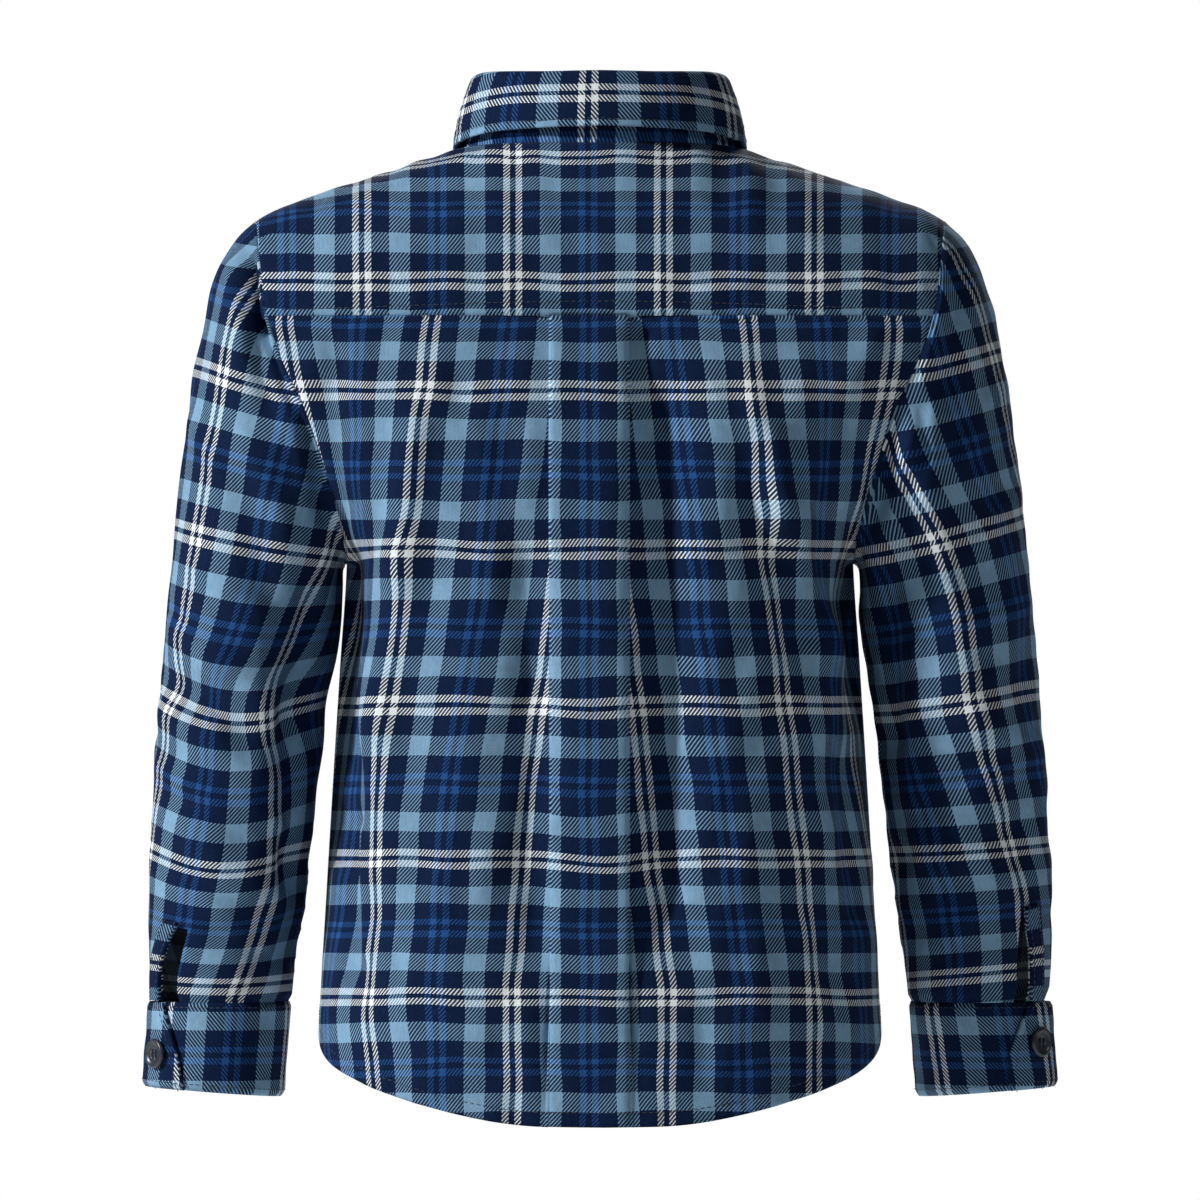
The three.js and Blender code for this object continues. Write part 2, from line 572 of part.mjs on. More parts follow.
// Collar leaf: turned over the top of the stand and down outside it, to two points in front
const FALL_COLUMNS = 33;
const FALL_END_TURN = 170;
const FALL_EDGE = [
  { turn: 0, edgeTurn: 0, out: 5.6, z: 5.3 },
  { turn: 45, edgeTurn: 45, out: 5.6, z: 3.8 },
  { turn: 90, edgeTurn: 90, out: 5.9, z: 0.3 },
  { turn: 115, edgeTurn: 112, out: 9.0, z: -6.0 },
  { turn: 135, edgeTurn: 128, out: 15.5, z: -17 },
  { turn: 150, edgeTurn: 139, out: 20.5, z: -34 },
  { turn: 170, edgeTurn: 149, out: 23, z: -55 },
];
const FALL_PROFILE = [
  { down: 0, out: -0.6, lift: 1.5 },
  { down: 0, out: 1.4, lift: 1.6 },
  { down: 0, out: 3.2, lift: 0.2 },
  { down: 0.14, out: 3.4, lift: 0 },
  { down: 0.4, out: 3.2, lift: 0 },
  { down: 0.7, out: 2.0, lift: 0 },
  { down: 1, out: 0, lift: 0 },
];
function fallPoint(row, column) {
  const turn = lerp(FALL_END_TURN, -FALL_END_TURN, column / (FALL_COLUMNS - 1));
  const side = turn < 0 ? -1 : 1;
  const size = Math.abs(turn);
  const top = neck(turn, -STAND_LEAN);
  top.z += STAND_LIFT + STAND_HEIGHT - STAND_FRONT_SHORT * smooth(size, 90, 175);
  const edge = neck(side * read(FALL_EDGE, 'turn', 'edgeTurn', size), read(FALL_EDGE, 'turn', 'out', size));
  edge.z = read(FALL_EDGE, 'turn', 'z', size);
  const { down, out, lift } = FALL_PROFILE[row];
  const point = top.lerp(edge, down);
  const away = new THREE.Vector3(Math.sin(rad(turn)), Math.cos(rad(turn)), 0);
  point.addScaledVector(away, out);
  point.z += DOUBLE_CLOTH / 2 + lift;
  return point;
}
add('collar_fall', wall(FALL_PROFILE.length, FALL_COLUMNS,
  (i, j) => fallPoint(FALL_PROFILE.length - 1 - i, j), DOUBLE_CLOTH), 'collar');

// Sleeves: rings that fan from the armhole to the level of the cuff
const SLEEVE_COLUMNS = 26;
const SLIT_COLUMN = 5;
function sleeveRing(ring) {
  const row = SLEEVE[ring];
  return {
    middle: new THREE.Vector3((row.xo + row.xi) / 2, row.y, (row.zo + row.zi) / 2),
    rail: new THREE.Vector3((row.xo - row.xi) / 2, 0, (row.zo - row.zi) / 2),
    depth: row.depth,
  };
}
// Turn round the sleeve: 0 at the outer rail, 90 at the back, 180 at the inner rail
function sleeveTurn(ring, column, slit) {
  const step = 360 / SLEEVE_COLUMNS;
  const plain = column * step;
  const { middle, depth } = sleeveRing(ring);
  const slitMiddle = 90 - read(slit, 'z', 'turn', middle.z);
  const half = THREE.MathUtils.radToDeg(read(slit, 'z', 'half', middle.z) / depth);
  const pull = smooth(-middle.z, 230, 300);
  const left = (SLIT_COLUMN - 1) * step;
  const right = SLIT_COLUMN * step;
  let wanted = plain;
  if (column <= SLIT_COLUMN - 1) wanted = plain * ((slitMiddle - half) / left);
  else wanted = 360 - (360 - plain) * ((360 - slitMiddle - half) / (360 - right));
  return lerp(plain, wanted, pull);
}
function sleevePoint(ring, turn, folds, level = 0) {
  const { middle, rail, depth } = sleeveRing(ring);
  const point = middle.clone().addScaledVector(rail, Math.cos(rad(turn)));
  point.y += depth * Math.sin(rad(turn));
  const fade = Math.max(1 - ring / SLEEVE_BLEND_RINGS, 0);
  const straight = lerp(SLEEVE[0].xi, SLEEVE[0].xo, (Math.cos(rad(turn)) + 1) / 2);
  point.x += (armhole(turn).x + 0.5 - straight) * fade * smooth(Math.cos(rad(turn)), -1, -0.85);
  const seenBack = Math.max(Math.sin(rad(turn)), 0) ** 0.5;
  const seenFront = Math.max(-Math.sin(rad(turn)), 0) ** 0.5;
  const ends = smooth(ring, 0.2, 1.6) * smooth(SLEEVE.length - 1 - ring, 0, 2);
  const height = relief(folds, point.x, point.z) * seenBack
    + 0.7 * relief(folds, point.x - 6, point.z + 14) * seenFront;
  const out = new THREE.Vector3(rail.x * Math.cos(rad(turn)), depth * Math.sin(rad(turn)),
    rail.z * Math.cos(rad(turn))).normalize();
  if (rail.length() > depth) out.set(Math.cos(rad(turn)) * rail.x, Math.sin(rad(turn)) * depth, 0).normalize();
  return point.addScaledVector(out, height * ends + level);
}
function sleeveGeometry(side, folds, slit) {
  const rings = SLEEVE.length;
  const place = (i, j) => {
    const ring = rings - 1 - i;
    const column = side > 0 ? j : (SLEEVE_COLUMNS - j) % SLEEVE_COLUMNS;
    return mirrored(sleevePoint(ring, sleeveTurn(ring, column, slit), folds), side);
  };
  const slitCell = side > 0 ? SLIT_COLUMN - 1 : SLEEVE_COLUMNS - SLIT_COLUMN;
  return wall(rings, SLEEVE_COLUMNS, place, CLOTH, { round: true, cut: (i, j) => i < SLIT_RINGS && j === slitCell });
}

// Binding strip on the outer edge of the slit
const STRIP_ROWS = 6;
function stripPoint(row, column, folds, slit) {
  const low = SLEEVE.length - 1;
  const ring = low - (row * (SLIT_RINGS + 0.5)) / (STRIP_ROWS - 1);
  const floor = Math.floor(ring);
  const t = ring - floor;
  const ends = [floor, Math.min(floor + 1, low)].map((k) => {
    const edge = sleeveTurn(k, SLIT_COLUMN - 1, slit);
    const wide = THREE.MathUtils.radToDeg(SLEEVE_PLACKET_WIDE / sleeveRing(k).depth);
    return sleevePoint(k, edge + 1 - (wide * column) / 2, folds, CLOTH / 2 + DOUBLE_CLOTH / 2 + LAYER_GAP);
  });
  return ends[0].lerp(ends[1], t);
}
function stripGeometry(side, folds, slit) {
  const place = (i, j) => mirrored(stripPoint(i, side > 0 ? 2 - j : j, folds, slit), side);
  return wall(STRIP_ROWS, 3, place, DOUBLE_CLOTH);
}

// Cuffs: a band whose free end lies over the other end, with the button on it
const CUFF_ROWS = 4;
const CUFF_COLUMNS = 34;
function cuffPoint(part, along, edge, level = 0) {
  const edgeTurn = read(edge, 'part', 'turn', part);
  const turn = edgeTurn + along * (360 + CUFF.overlap);
  const passed = turn - edgeTurn;
  const layer = CUFF.spread * (1 - 2 * smooth(passed, CUFF.overlap + 10, 330));
  const half = lerp(CUFF.halfTop, CUFF.halfHem, part) + layer + level;
  const depth = lerp(CUFF.depthTop, CUFF.depthHem, part) + layer + level;
  const across = Math.sin(rad(turn));
  const drop = lerp(CUFF.innerDrop, CUFF.outerDrop, (across + 1) / 2);
  return new THREE.Vector3(
    lerp(CUFF.x, CUFF.xHem, part) + half * across,
    lerp(CUFF.y, CUFF.yHem, part) + depth * Math.cos(rad(turn)),
    CUFF.top - drop * part,
  );
}
function cuffGeometry(side, edge) {
  const place = (i, j) => {
    const column = side > 0 ? j : CUFF_COLUMNS - 1 - j;
    return mirrored(cuffPoint(1 - i / (CUFF_ROWS - 1), 1 - column / (CUFF_COLUMNS - 1), edge), side);
  };
  return wall(CUFF_ROWS, CUFF_COLUMNS, place, DOUBLE_CLOTH);
}

// A flat four-hole button, placed by its middle and the way it faces
function buttonGeometry() {
  const ring = (x, y, radius, sides) => Array.from({ length: sides }, (_, k) => {
    const turn = (k * 2 * Math.PI) / sides;
    return new THREE.Vector2(x + radius * Math.cos(turn), y + radius * Math.sin(turn));
  });
  const outline = new THREE.Shape(ring(0, 0, BUTTON.radius, BUTTON.sides));
  for (let k = 0; k < 4; k += 1) {
    const turn = Math.PI / 4 + (k * Math.PI) / 2;
    const x = BUTTON.holeSpread * Math.cos(turn);
    const y = BUTTON.holeSpread * Math.sin(turn);
    outline.holes.push(new THREE.Path(ring(x, y, BUTTON.hole, BUTTON.holeSides)));
  }
  return new THREE.ExtrudeGeometry(outline, { depth: BUTTON.thick, bevelEnabled: false });
}
function addButton(name, seat, facing) {
  const mesh = add(name, buttonGeometry(), 'button');
  mesh.position.copy(seat).addScaledVector(facing, LAYER_GAP);
  mesh.quaternion.setFromUnitVectors(new THREE.Vector3(0, 0, 1), facing.clone().normalize());
}

for (const [name, side] of [['left', 1], ['right', -1]]) {
  const folds = SLEEVE_FOLDS[name];
  const slit = SLIT[name];
  const edge = CUFF_EDGE[name];
  add(`sleeve_${name}`, sleeveGeometry(side, folds, slit), 'navy');
  add(`sleeve_placket_${name}`, stripGeometry(side, folds, slit), 'trim');
  add(`cuff_${name}`, cuffGeometry(side, edge), 'navy');
  const { turn, z } = CUFF_BUTTON[name];
  const part = (CUFF.top - z) / CUFF.outerDrop;
  const along = (turn - read(edge, 'part', 'turn', part)) / (360 + CUFF.overlap);
  const seat = cuffPoint(part, along, edge, DOUBLE_CLOTH / 2);
  const facing = new THREE.Vector3(Math.sin(rad(turn)), Math.cos(rad(turn)), 0);
  addButton(`button_cuff_${name}`, mirrored(seat, side), mirrored(facing, side));
}

// Front buttons sit on the strip, and one on the collar stand
const toFront = new THREE.Vector3(0, -1, 0);
FRONT_BUTTON_Z.forEach((z, k) => {
  const seat = z > YOKE_SEAM_Z ? placketPoint(FRONT_LOW_ROWS + 1, 1.5) : section(-1, z).place(0, PLACKET_LEVEL);
  const up = z > YOKE_SEAM_Z ? placketPoint(FRONT_LOW_ROWS + 2, 1.5) : section(-1, z + 5).place(0, PLACKET_LEVEL);
  const out = new THREE.Vector3(1, 0, 0).cross(up.sub(seat)).normalize();
  seat.x = 0.4;
  addButton(`button_front_${k + 1}`, seat.addScaledVector(out, DOUBLE_CLOTH / 2), out);
});
const collarSeat = standPoint(0.5, 0.5 * (1 - 180 / (180 + STAND_OVERLAP_TURN)));
const collarUp = standPoint(0.7, 0.5 * (1 - 180 / (180 + STAND_OVERLAP_TURN)));
const collarOut = new THREE.Vector3(1, 0, 0).cross(collarUp.sub(collarSeat)).normalize();
collarOut.y = Math.min(collarOut.y, 0) || toFront.y;
addButton('button_collar', collarSeat.addScaledVector(collarOut, DOUBLE_CLOTH / 2), collarOut.normalize());

export default shirt;
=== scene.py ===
# Looks of a small child's check flannel shirt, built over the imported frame.
# Tables and forms are in millimetres; meshes are made in metres.
import math

import bmesh
import bpy
import numpy as np
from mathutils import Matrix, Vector


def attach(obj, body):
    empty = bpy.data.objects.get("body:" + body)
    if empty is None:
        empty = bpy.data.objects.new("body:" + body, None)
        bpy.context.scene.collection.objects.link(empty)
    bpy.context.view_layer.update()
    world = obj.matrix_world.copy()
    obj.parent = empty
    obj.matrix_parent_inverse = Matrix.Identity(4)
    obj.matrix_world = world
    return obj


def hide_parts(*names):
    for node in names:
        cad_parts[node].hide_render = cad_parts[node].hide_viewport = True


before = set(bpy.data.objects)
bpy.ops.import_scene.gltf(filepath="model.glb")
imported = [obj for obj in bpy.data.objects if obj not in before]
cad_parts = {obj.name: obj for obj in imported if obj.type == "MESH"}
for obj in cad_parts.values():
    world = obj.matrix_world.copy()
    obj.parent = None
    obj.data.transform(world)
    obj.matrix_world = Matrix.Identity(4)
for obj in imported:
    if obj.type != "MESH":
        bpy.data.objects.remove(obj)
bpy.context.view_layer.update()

bl_info = {
    "name": "Check Flannel Shirt",
    "version": (1, 0, 0),
    "blender": (4, 5, 0),
    "location": "3D View > Sidebar > Shirt",
    "description": "Sewn pieces, check cloth, stitches and buttons of a child's flannel shirt",
    "category": "Object",
}

MM = 0.001

# Thickness of the cloth that shows, of the solids' plain walls, and of a doubled piece
THIN = 0.75
WALL = 1.1
DOUBLE = 1.7

# Level above a wall's middle of a doubled strip sewn on it, and of stitches above single and doubled cloth
ON_WALL = WALL / 2 + DOUBLE / 2 + 0.4
ON_THIN = THIN / 2 + 0.1
ON_DOUBLE = DOUBLE / 2 + 0.1

# Same form tables as the solids
NECK = {"half": 55, "back": 38, "front": -46}
STAND = {"height": 25.5, "overlap": 13, "spread": 1.1, "lean": 4.5, "lift": 0.5, "short": 7,
         "level": 1.1, "foot": 5.0, "flare": 3.4}
RIDGE = {"top": 19.1, "slope": 0.337, "soften": 25, "from": 128, "run": 17, "drop": 2.5}
YOKE_SEAM = -73.5
ARMHOLE = {"z": -105, "high": 72, "deep": 50, "front_seam": -32}
PLEAT = {"x": 4.4, "half": 16, "top": 15.3, "hem": -3.2, "foot": -410, "step": 1.5,
         "soften_from": -358, "soften_to": -410}
CUFF = {"top": -361.4, "outer": 34.4, "inner": 38.6, "half_top": 29.0, "half_hem": 28.9, "deep_top": 28.0,
        "deep_hem": 26.5, "x": 159.3, "x_hem": 161.8, "y": -8.6, "y_hem": -9.6, "overlap": 50, "spread": 1.15,
        "roll_hem": 1.3, "roll_top": 0.5}
FRONT_OVERLAP = 14
FRONT_TUCK = 1.9
PLACKET_WIDE = 28


def rows(names, *values):
    """A short table as named columns, sorted by its first column."""
    order = sorted(values, key=lambda row: row[0])
    return {name: np.array([row[k] for row in order], float) for k, name in enumerate(names.split())}


ARMHOLE_REACH = rows(
    "z x",
    (-177, 106.0), (-162, 108.0), (-139, 114.0), (-111, 123.5),
    (-92, 132.5), (-72, 139.0), (-50, 142.0), (-33, 144.0))
BODY = rows(
    "z half back front square",
    (-420, 118.6, 84.0, 83.0, 2.7),
    (-368, 117.4, 82.0, 82.0, 2.7),
    (-318, 114.7, 79.5, 81.0, 2.6),
    (-267, 111.7, 77.5, 79.0, 2.6),
    (-217, 108.6, 77.0, 77.0, 2.5),
    (-177, 106.0, 76.5, 75.0, 2.45),
    (-139, 106.0, 75.0, 72.0, 2.4),
    (-105, 106.0, 70.5, 66.5, 2.35),
    (-73.5, 106.0, 62.0, 58.0, 2.3))
HEM = rows("part z", (0, -410.6), (0.2, -409.5), (0.39, -403.7), (0.65, -391.5), (0.85, -379.8), (1, -368.0))
FRONT_HEM_RISE = 8
NECK_DROP = rows("turn z", (0, 0), (45, -0.8), (90, -2.5), (123, -9.5), (150, -22.5), (165, -28), (180, -30))
FALL_EDGE = rows(
    "turn edge out z",
    (0, 0, 4.9, 5.2), (45, 45, 4.9, 3.2), (70, 70, 5.1, 0.2), (90, 90, 5.8, -2.4), (115, 112, 9.2, -7.4),
    (135, 128, 15.5, -17), (150, 139, 20.5, -34), (170, 149, 23, -55))
FALL_PROFILE = rows(
    "place down out lift",
    (0, 0, -0.6, 1.5), (1, 0, 1.4, 1.6), (2, 0, 3.2, 0.2), (3, 0.14, 3.4, 0),
    (4, 0.4, 3.2, 0), (5, 0.7, 2.0, 0), (6, 1, 0, 0))

# Folds: a ridge (rise above 0) or trough from one end to the other, seen square from behind.
# The first rows are in the solids too; the later, narrower ones are the creases of the cloth.
FOLD = "x0 z0 x1 z1 wide rise"
BACK_FOLDS = rows(
    FOLD,
    (77.5, -122, 81.7, -175, 9, 4.3), (81.7, -175, 92.0, -241, 9, 4.3), (92.0, -241, 94.0, -300, 10, 3.0),
    (104.0, -135, 104.5, -165, 7, 4.1), (105.0, -175, 102.0, -350, 9, -4.6),
    (34.0, -190, 32.0, -330, 12, -4.1), (-27.0, -110, -29.0, -320, 13, -4.9),
    (-72.0, -127, -76.0, -156, 7, 4.6), (-76.0, -156, -95.0, -210, 8, 4.9),
    (-95.0, -210, -103.0, -245, 8, 4.1), (-64.0, -150, -86.0, -215, 9, -3.5),
    (-104.0, -195, -101.0, -345, 9, -4.6), (-97.0, -292, -105.0, -330, 8, 3.0))
FRONT_FOLDS = rows(
    FOLD,
    (60, -110, 78, -200, 11, 3.5), (84, -230, 92, -350, 11, -3.8), (40, -250, 46, -380, 13, -3.2),
    (-66, -120, -80, -190, 10, 3.8), (-52, -215, -60, -360, 12, -3.5), (-90, -210, -98, -300, 10, 3.0))
SLEEVE_FOLDS = {
    1: rows(
        FOLD,
        (146.0, -49, 151.0, -56, 7, 4.7), (151.0, -56, 149.0, -84, 7, 4.7),
        (145.5, -62, 138.0, -104, 7, -6.1), (170.0, -208, 146.0, -228, 7, 3.5),
        (176.0, -228, 142.0, -252, 7, -3.8), (180.0, -240, 150.0, -262, 7, 3.2),
        (148.0, -150, 128.0, -222, 9, -3.8), (166.0, -296, 136.0, -318, 8, 2.7)),
    -1: rows(
        FOLD,
        (146.0, -56, 145.0, -100, 7, -4.9), (132.0, -128, 137.0, -150, 7, 5.4),
        (140.0, -170, 160.0, -240, 9, 3.5), (132.0, -205, 160.0, -216, 7, -3.2),
        (138.0, -236, 172.0, -250, 7, 3.0), (180.0, -215, 176.0, -300, 8, -3.5),
        (134.0, -296, 166.0, -306, 8, 2.7)),
}
BACK_CREASES = rows(
    FOLD,
    (-17.5, -84, -19.5, -290, 5.5, -4.2), (-27.0, -120, -29.0, -310, 8, -3.8),
    (28.0, -180, 27.0, -320, 8, -4.0), (101.0, -290, 100.5, -338, 2.5, 1.8),
    (106.0, -285, 106.0, -345, 4, -2.4), (113.0, -105, 103.0, -150, 6, -3.0),
    (108.0, -160, 107.0, -300, 5, -2.6), (-108.0, -160, -107.0, -320, 5, -2.6),
    (-101.0, -110, -92.0, -150, 5, -2.6), (-93.0, -160, -87.0, -205, 5, -2.8),
    (112.0, -86, 108.0, -96, 5, -1.6), (96.0, -150, 99.0, -190, 4, 1.3), (60.0, -250, 66.0, -330, 6, 1.2),
    (100.0, -215, 96.0, -268, 3.5, 1.4), (50.0, -120, 47.0, -180, 6, 0.9), (24.0, -330, 20.0, -395, 5, -1.0),
    (-46.0, -170, -52.0, -250, 6, 1.1), (-88.0, -170, -99.0, -205, 3.5, -1.5),
    (-60.0, -280, -66.0, -360, 6, 1.3), (-84.0, -330, -92.0, -370, 4, 1.1),
    (-112.0, -88, -104.0, -104, 5, 1.5), (-40.0, -340, -44.0, -392, 5, -1.0),
    (84.0, -345, 88.0, -378, 4, -1.1), (10.0, -230, 12.0, -310, 5, 0.5), (0.0, -120, -2.0, -200, 5, 0.5),
    (70.0, -96, 62.0, -118, 5, 1.1), (-58.0, -92, -66.0, -118, 5, 1.0), (30.0, -92, 28.0, -120, 6, 0.8))
FRONT_CREASES = rows(
    FOLD,
    (96, -130, 90, -180, 5, 1.4), (66, -240, 72, -330, 6, 1.3), (50, -130, 58, -180, 6, -1.1),
    (30, -100, 33, -170, 5, 0.8), (100, -300, 97, -360, 5, 1.3), (-40, -110, -44, -170, 5, 0.9),
    (-98, -140, -92, -190, 5, 1.4), (-74, -230, -80, -300, 6, -1.2), (-34, -240, -38, -330, 6, 0.9),
    (-86, -320, -92, -370, 5, 1.2), (62, -345, 66, -392, 5, 1.0))
SLEEVE_CREASES = {
    1: rows(
        FOLD,
        (172.0, -118, 160.0, -136, 4, 1.5), (166.0, -180, 142.0, -196, 4, 1.6),
        (180.0, -196, 168.0, -206, 4, -1.6), (150.0, -120, 132.0, -160, 5, 1.4),
        (184.0, -262, 160.0, -276, 4, 1.7), (176.0, -276, 148.0, -290, 4, -1.5),
        (150.0, -276, 132.0, -286, 3.5, 1.2), (180.0, -310, 158.0, -322, 4, 1.2),
        (158.0, -334, 138.0, -342, 4, -1.1), (158.0, -66, 156.0, -100, 5, 1.2),
        (168.0, -236, 160.0, -246, 3, 1.3), (142.8, -56, 140.0, -77, 3.2, -5.5),
        (140.0, -77, 129.5, -108, 3.6, -5.0), (121.0, -122, 117.0, -150, 4.5, -3.6),
        (150.0, -56, 148.5, -84, 4, 2.4), (132.0, -108, 122.0, -140, 4, 1.8),
        (119.0, -190, 126.0, -238, 9, -8.0), (126.0, -242, 127.0, -300, 8, -6.5),
        (127.0, -300, 129.0, -340, 6, -4.0), (142.0, -238, 141.0, -262, 5, 1.8)),
    -1: rows(
        FOLD,
        (162.0, -110, 150.0, -136, 5, 1.5), (172.0, -150, 158.0, -168, 4, 1.5),
        (136.0, -160, 140.0, -190, 4, -1.6), (170.0, -196, 148.0, -202, 4, 1.4),
        (176.0, -226, 156.0, -232, 4, -1.3), (180.0, -258, 158.0, -268, 4, 1.5),
        (150.0, -268, 134.0, -280, 4, -1.2), (176.0, -286, 158.0, -294, 4, -1.3),
        (172.0, -318, 150.0, -326, 4, 1.3), (150.0, -338, 136.0, -346, 4, -1.1),
        (129.0, -128, 121.0, -162, 3.5, 2.6), (118.0, -120, 116.0, -150, 4.5, -3.4),
        (120.0, -188, 120.0, -246, 7, -7.0), (120.0, -250, 124.0, -300, 6, -4.0),
        (125.0, -300, 130.0, -330, 6, -3.0), (139.0, -112, 139.5, -132, 4, 2.2),
        (134.0, -116, 135.0, -134, 3.5, -2.2), (133.0, -58, 128.5, -94, 3.0, -3.5),
        (139.0, -66, 136.0, -96, 3.5, 1.6)),
}

# Below the underarm each sleeve hangs this much nearer to the body
UNDERARM_TUCK = {1: 2.2, -1: 1.8}

# Sleeve rings from the armhole down: outer and inner rail in front view, half depth and middle in side view
LAST_RING = 14
SLEEVE = rows(
    "ring xo zo xi zi depth y",
    (0, 144.5, -33.2, 107.6, -177.2, 50.0, 0.0), (1, 152.2, -41.0, 110.6, -179.0, 50.2, 0.0),
    (2, 159.6, -53.3, 110.9, -188.0, 49.0, 0.2), (3, 166.4, -78.5, 111.0, -200.0, 46.5, 0.8),
    (4, 171.4, -106.0, 112.6, -214.0, 44.0, 1.2), (5, 175.6, -139.0, 114.4, -232.0, 41.8, 1.4),
    (6, 179.0, -171.0, 116.4, -250.0, 40.0, 1.2), (7, 182.0, -203.0, 118.4, -268.0, 38.6, 0.4),
    (8, 184.4, -232.0, 120.2, -285.0, 37.4, -0.8), (9, 186.5, -258.0, 122.0, -301.0, 36.2, -2.2),
    (10, 188.0, -283.0, 123.8, -316.0, 34.8, -3.8), (11, 189.1, -305.0, 125.8, -329.0, 33.2, -5.4),
    (12, 189.6, -323.0, 127.6, -339.0, 31.4, -6.8), (13, 189.4, -341.0, 129.0, -350.0, 29.6, -7.8),
    (14, 188.3, -359.8, 130.2, -360.7, 28.0, -8.6))
SLIT = {
    1: rows("z turn half", (-290, 23, 5.4), (-322, 25, 0.7), (-333, 31, 2.7), (-343, 39, 4.2), (-352, 45, 4.6),
            (-361, 48, 4.8)),
    -1: rows("z turn half", (-290, 36, 5.4), (-320, 37, 0.7), (-343, 36, 3.0), (-352, 37, 3.3), (-361, 38, 3.4)),
}
SLIT_TOP_RING = {1: 12.15, -1: 11.75}
BINDING_WIDE = 7.2
# Drop and inward draw of a sleeve's last rows, gathered into the cuff
GATHERS = ((4.5, 2.6), (2.6, 2.2), (1.0, 1.2), (0.2, 0.4))
CUFF_EDGE = {
    1: rows("part turn", (0, 52), (0.5, 36), (1, 25)),
    -1: rows("part turn", (0, 42), (0.6, 21), (1, 20)),
}
# Rows of the lip that closes a cuff on its sleeve: how far inward and how far down the cuff
CUFF_LIP = ((1.2, 0.0), (2.6, 0.01), (4.0, 0.03))
# Rows of the yoke's seam allowance: how far past the edge, how far inward, and the cloth between
YOKE_LIP = ((3.0, 1.7, 3), (0.4, 1.1, 1))

# Stripe edges from the middle of a royal stripe to the middle of a white one, in millimetres
SETT_HALF = 32.0
SETT = ((0.0, "navy"), (1.15, "royal"), (3.9, "navy"), (11.75, "light"), (20.15, "navy"), (27.9, "white"),
        (30.85, "navy"))

# Where the check lies, read off the photo in the same frame: "v" is cloth millimetres down from a royal stripe
BACK_WEFT = rows(
    "z v",
    (-73.5, 1.5), (-87, -15.5), (-104.2, -32), (-120.5, -48), (-137.3, -64), (-154.1, -80), (-170.7, -96),
    (-236.5, -160), (-300.7, -224), (-358.7, -288), (-418, -352))
BACK_TAKEN = {
    1: rows("z cloth", (-250, 0), (-215, 4), (-185, 12), (-162, 21), (-144, 20), (-114, 11), (-95, 6), (-77, 2)),
    -1: rows(
        "z cloth", (-300, 0), (-270, 9), (-240, 18), (-209, 24), (-175, 15), (-141, 15), (-120, 11), (-100, 6),
        (-78, 2)),
}
PLEAT_TAKEN = {"from": 16.5, "cloth": 3.6, "z": -275, "tall": 55}
PLEAT_SAG = {"drop": 2.2, "wide": 24, "z": -295, "tall": 50}
BACK_SWING = rows("z cloth", (-413, 4.8), (-392, 2.4), (-376, 0), (-356, -3), (-325, 0))
YOKE_CHECK = {"x": 5.0, "scale": 1.012, "blend": 25, "eased": 0.35}
YOKE_WEFT = rows(
    "z v", (-74, 47.6), (-58.2, 32), (-42.8, 16), (-27.7, 0), (-17.6, -16), (-6.3, -32), (6, -50), (14, -64))
SLEEVE_OUTSIDE = rows(
    "z x", (-362, 188.3), (-341, 189.4), (-305, 189.1), (-258, 186.5), (-203, 182.0), (-139, 175.6), (-106, 171.4),
    (-78, 166.4), (-53, 159.6), (-41, 152.2), (-33, 144.5))
SLEEVE_OVAL = rows(
    "z half deep y",
    (-362, 29.0, 28.0, -8.6), (-330, 31.5, 31.0, -6.8), (-290, 33.5, 34.0, -4.5), (-240, 35.0, 37.0, -1.5),
    (-190, 36.0, 40.0, 0.8), (-150, 36.0, 43.0, 1.2), (-105, 36.0, 46.0, 1.0), (-60, 36.0, 48.0, 0.3),
    (-30, 36.0, 49.0, 0))
SLEEVE_WEFT = {
    1: rows(
        "v outer middle inner",
        (-352, -416, -416, -416), (-288, -352, -354, -352), (-224, -297, -306, -297),
        (-160, -232, -244, -233), (-96, -162, -170, -175), (-32, -94, -105, -116), (32, -30, -41, -52),
        (96, 34, 23, 12)),
    -1: rows(
        "v outer middle inner",
        (-352, -412, -412, -412), (-288, -346, -349, -351.5), (-224, -295, -298, -299),
        (-160, -230, -236, -240), (-96, -157, -167, -175), (-32, -87, -97, -106), (32, -23, -33, -42),
        (96, 41, 31, 22)),
}
SLEEVE_WARP = {
    1: rows("z turn next", (-359, 113, -13), (-335, 95, -27), (-314, 86, -31), (-300, 80, -33), (-284, 72, -31),
            (-258, 60, -25), (-250, 57, -20), (-237, 54, -15), (-226, 52, -18), (-214, 51, -29),
            (-200, 50, -38), (-178, 48, -48), (-129, 43, -55), (-60, 34, -63)),
    -1: rows("z turn next", (-359, 42, 170), (-317, 36, 156), (-299, 30, 144), (-275, 21, 130), (-256, 14, 120),
             (-238, 9.5, 112), (-205, 8, 107), (-173, 1, 97), (-129, -23, 72), (-60, -39, 56)),
}

FRONT_CHECK = {"across": 3.0, "down": 1.5}
STAND_CHECK = {"across": 27.4, "up": 0.4}
FALL_CHECK = {"across": 4.6, "down": 12.6, "down_round": 4.6}
BINDING_CHECK = {"across": 4.3, "down": 14, "long": 40}
# Turn of a royal stripe, and height of one, on each cuff
CUFF_CHECK = {1: {"turn": -13.3, "z": -382.8, "lean": 0.0}, -1: {"turn": 26.0, "z": -384.7, "lean": 8.0}}
CUFF_RADIUS = 28.6
CUFF_WEFT_SCALE = 0.92
CHECK_WAVE = 2.0

CAMERA = {"x": 0.0, "y": 6000.0, "z": -192.0, "lens": 428.6}


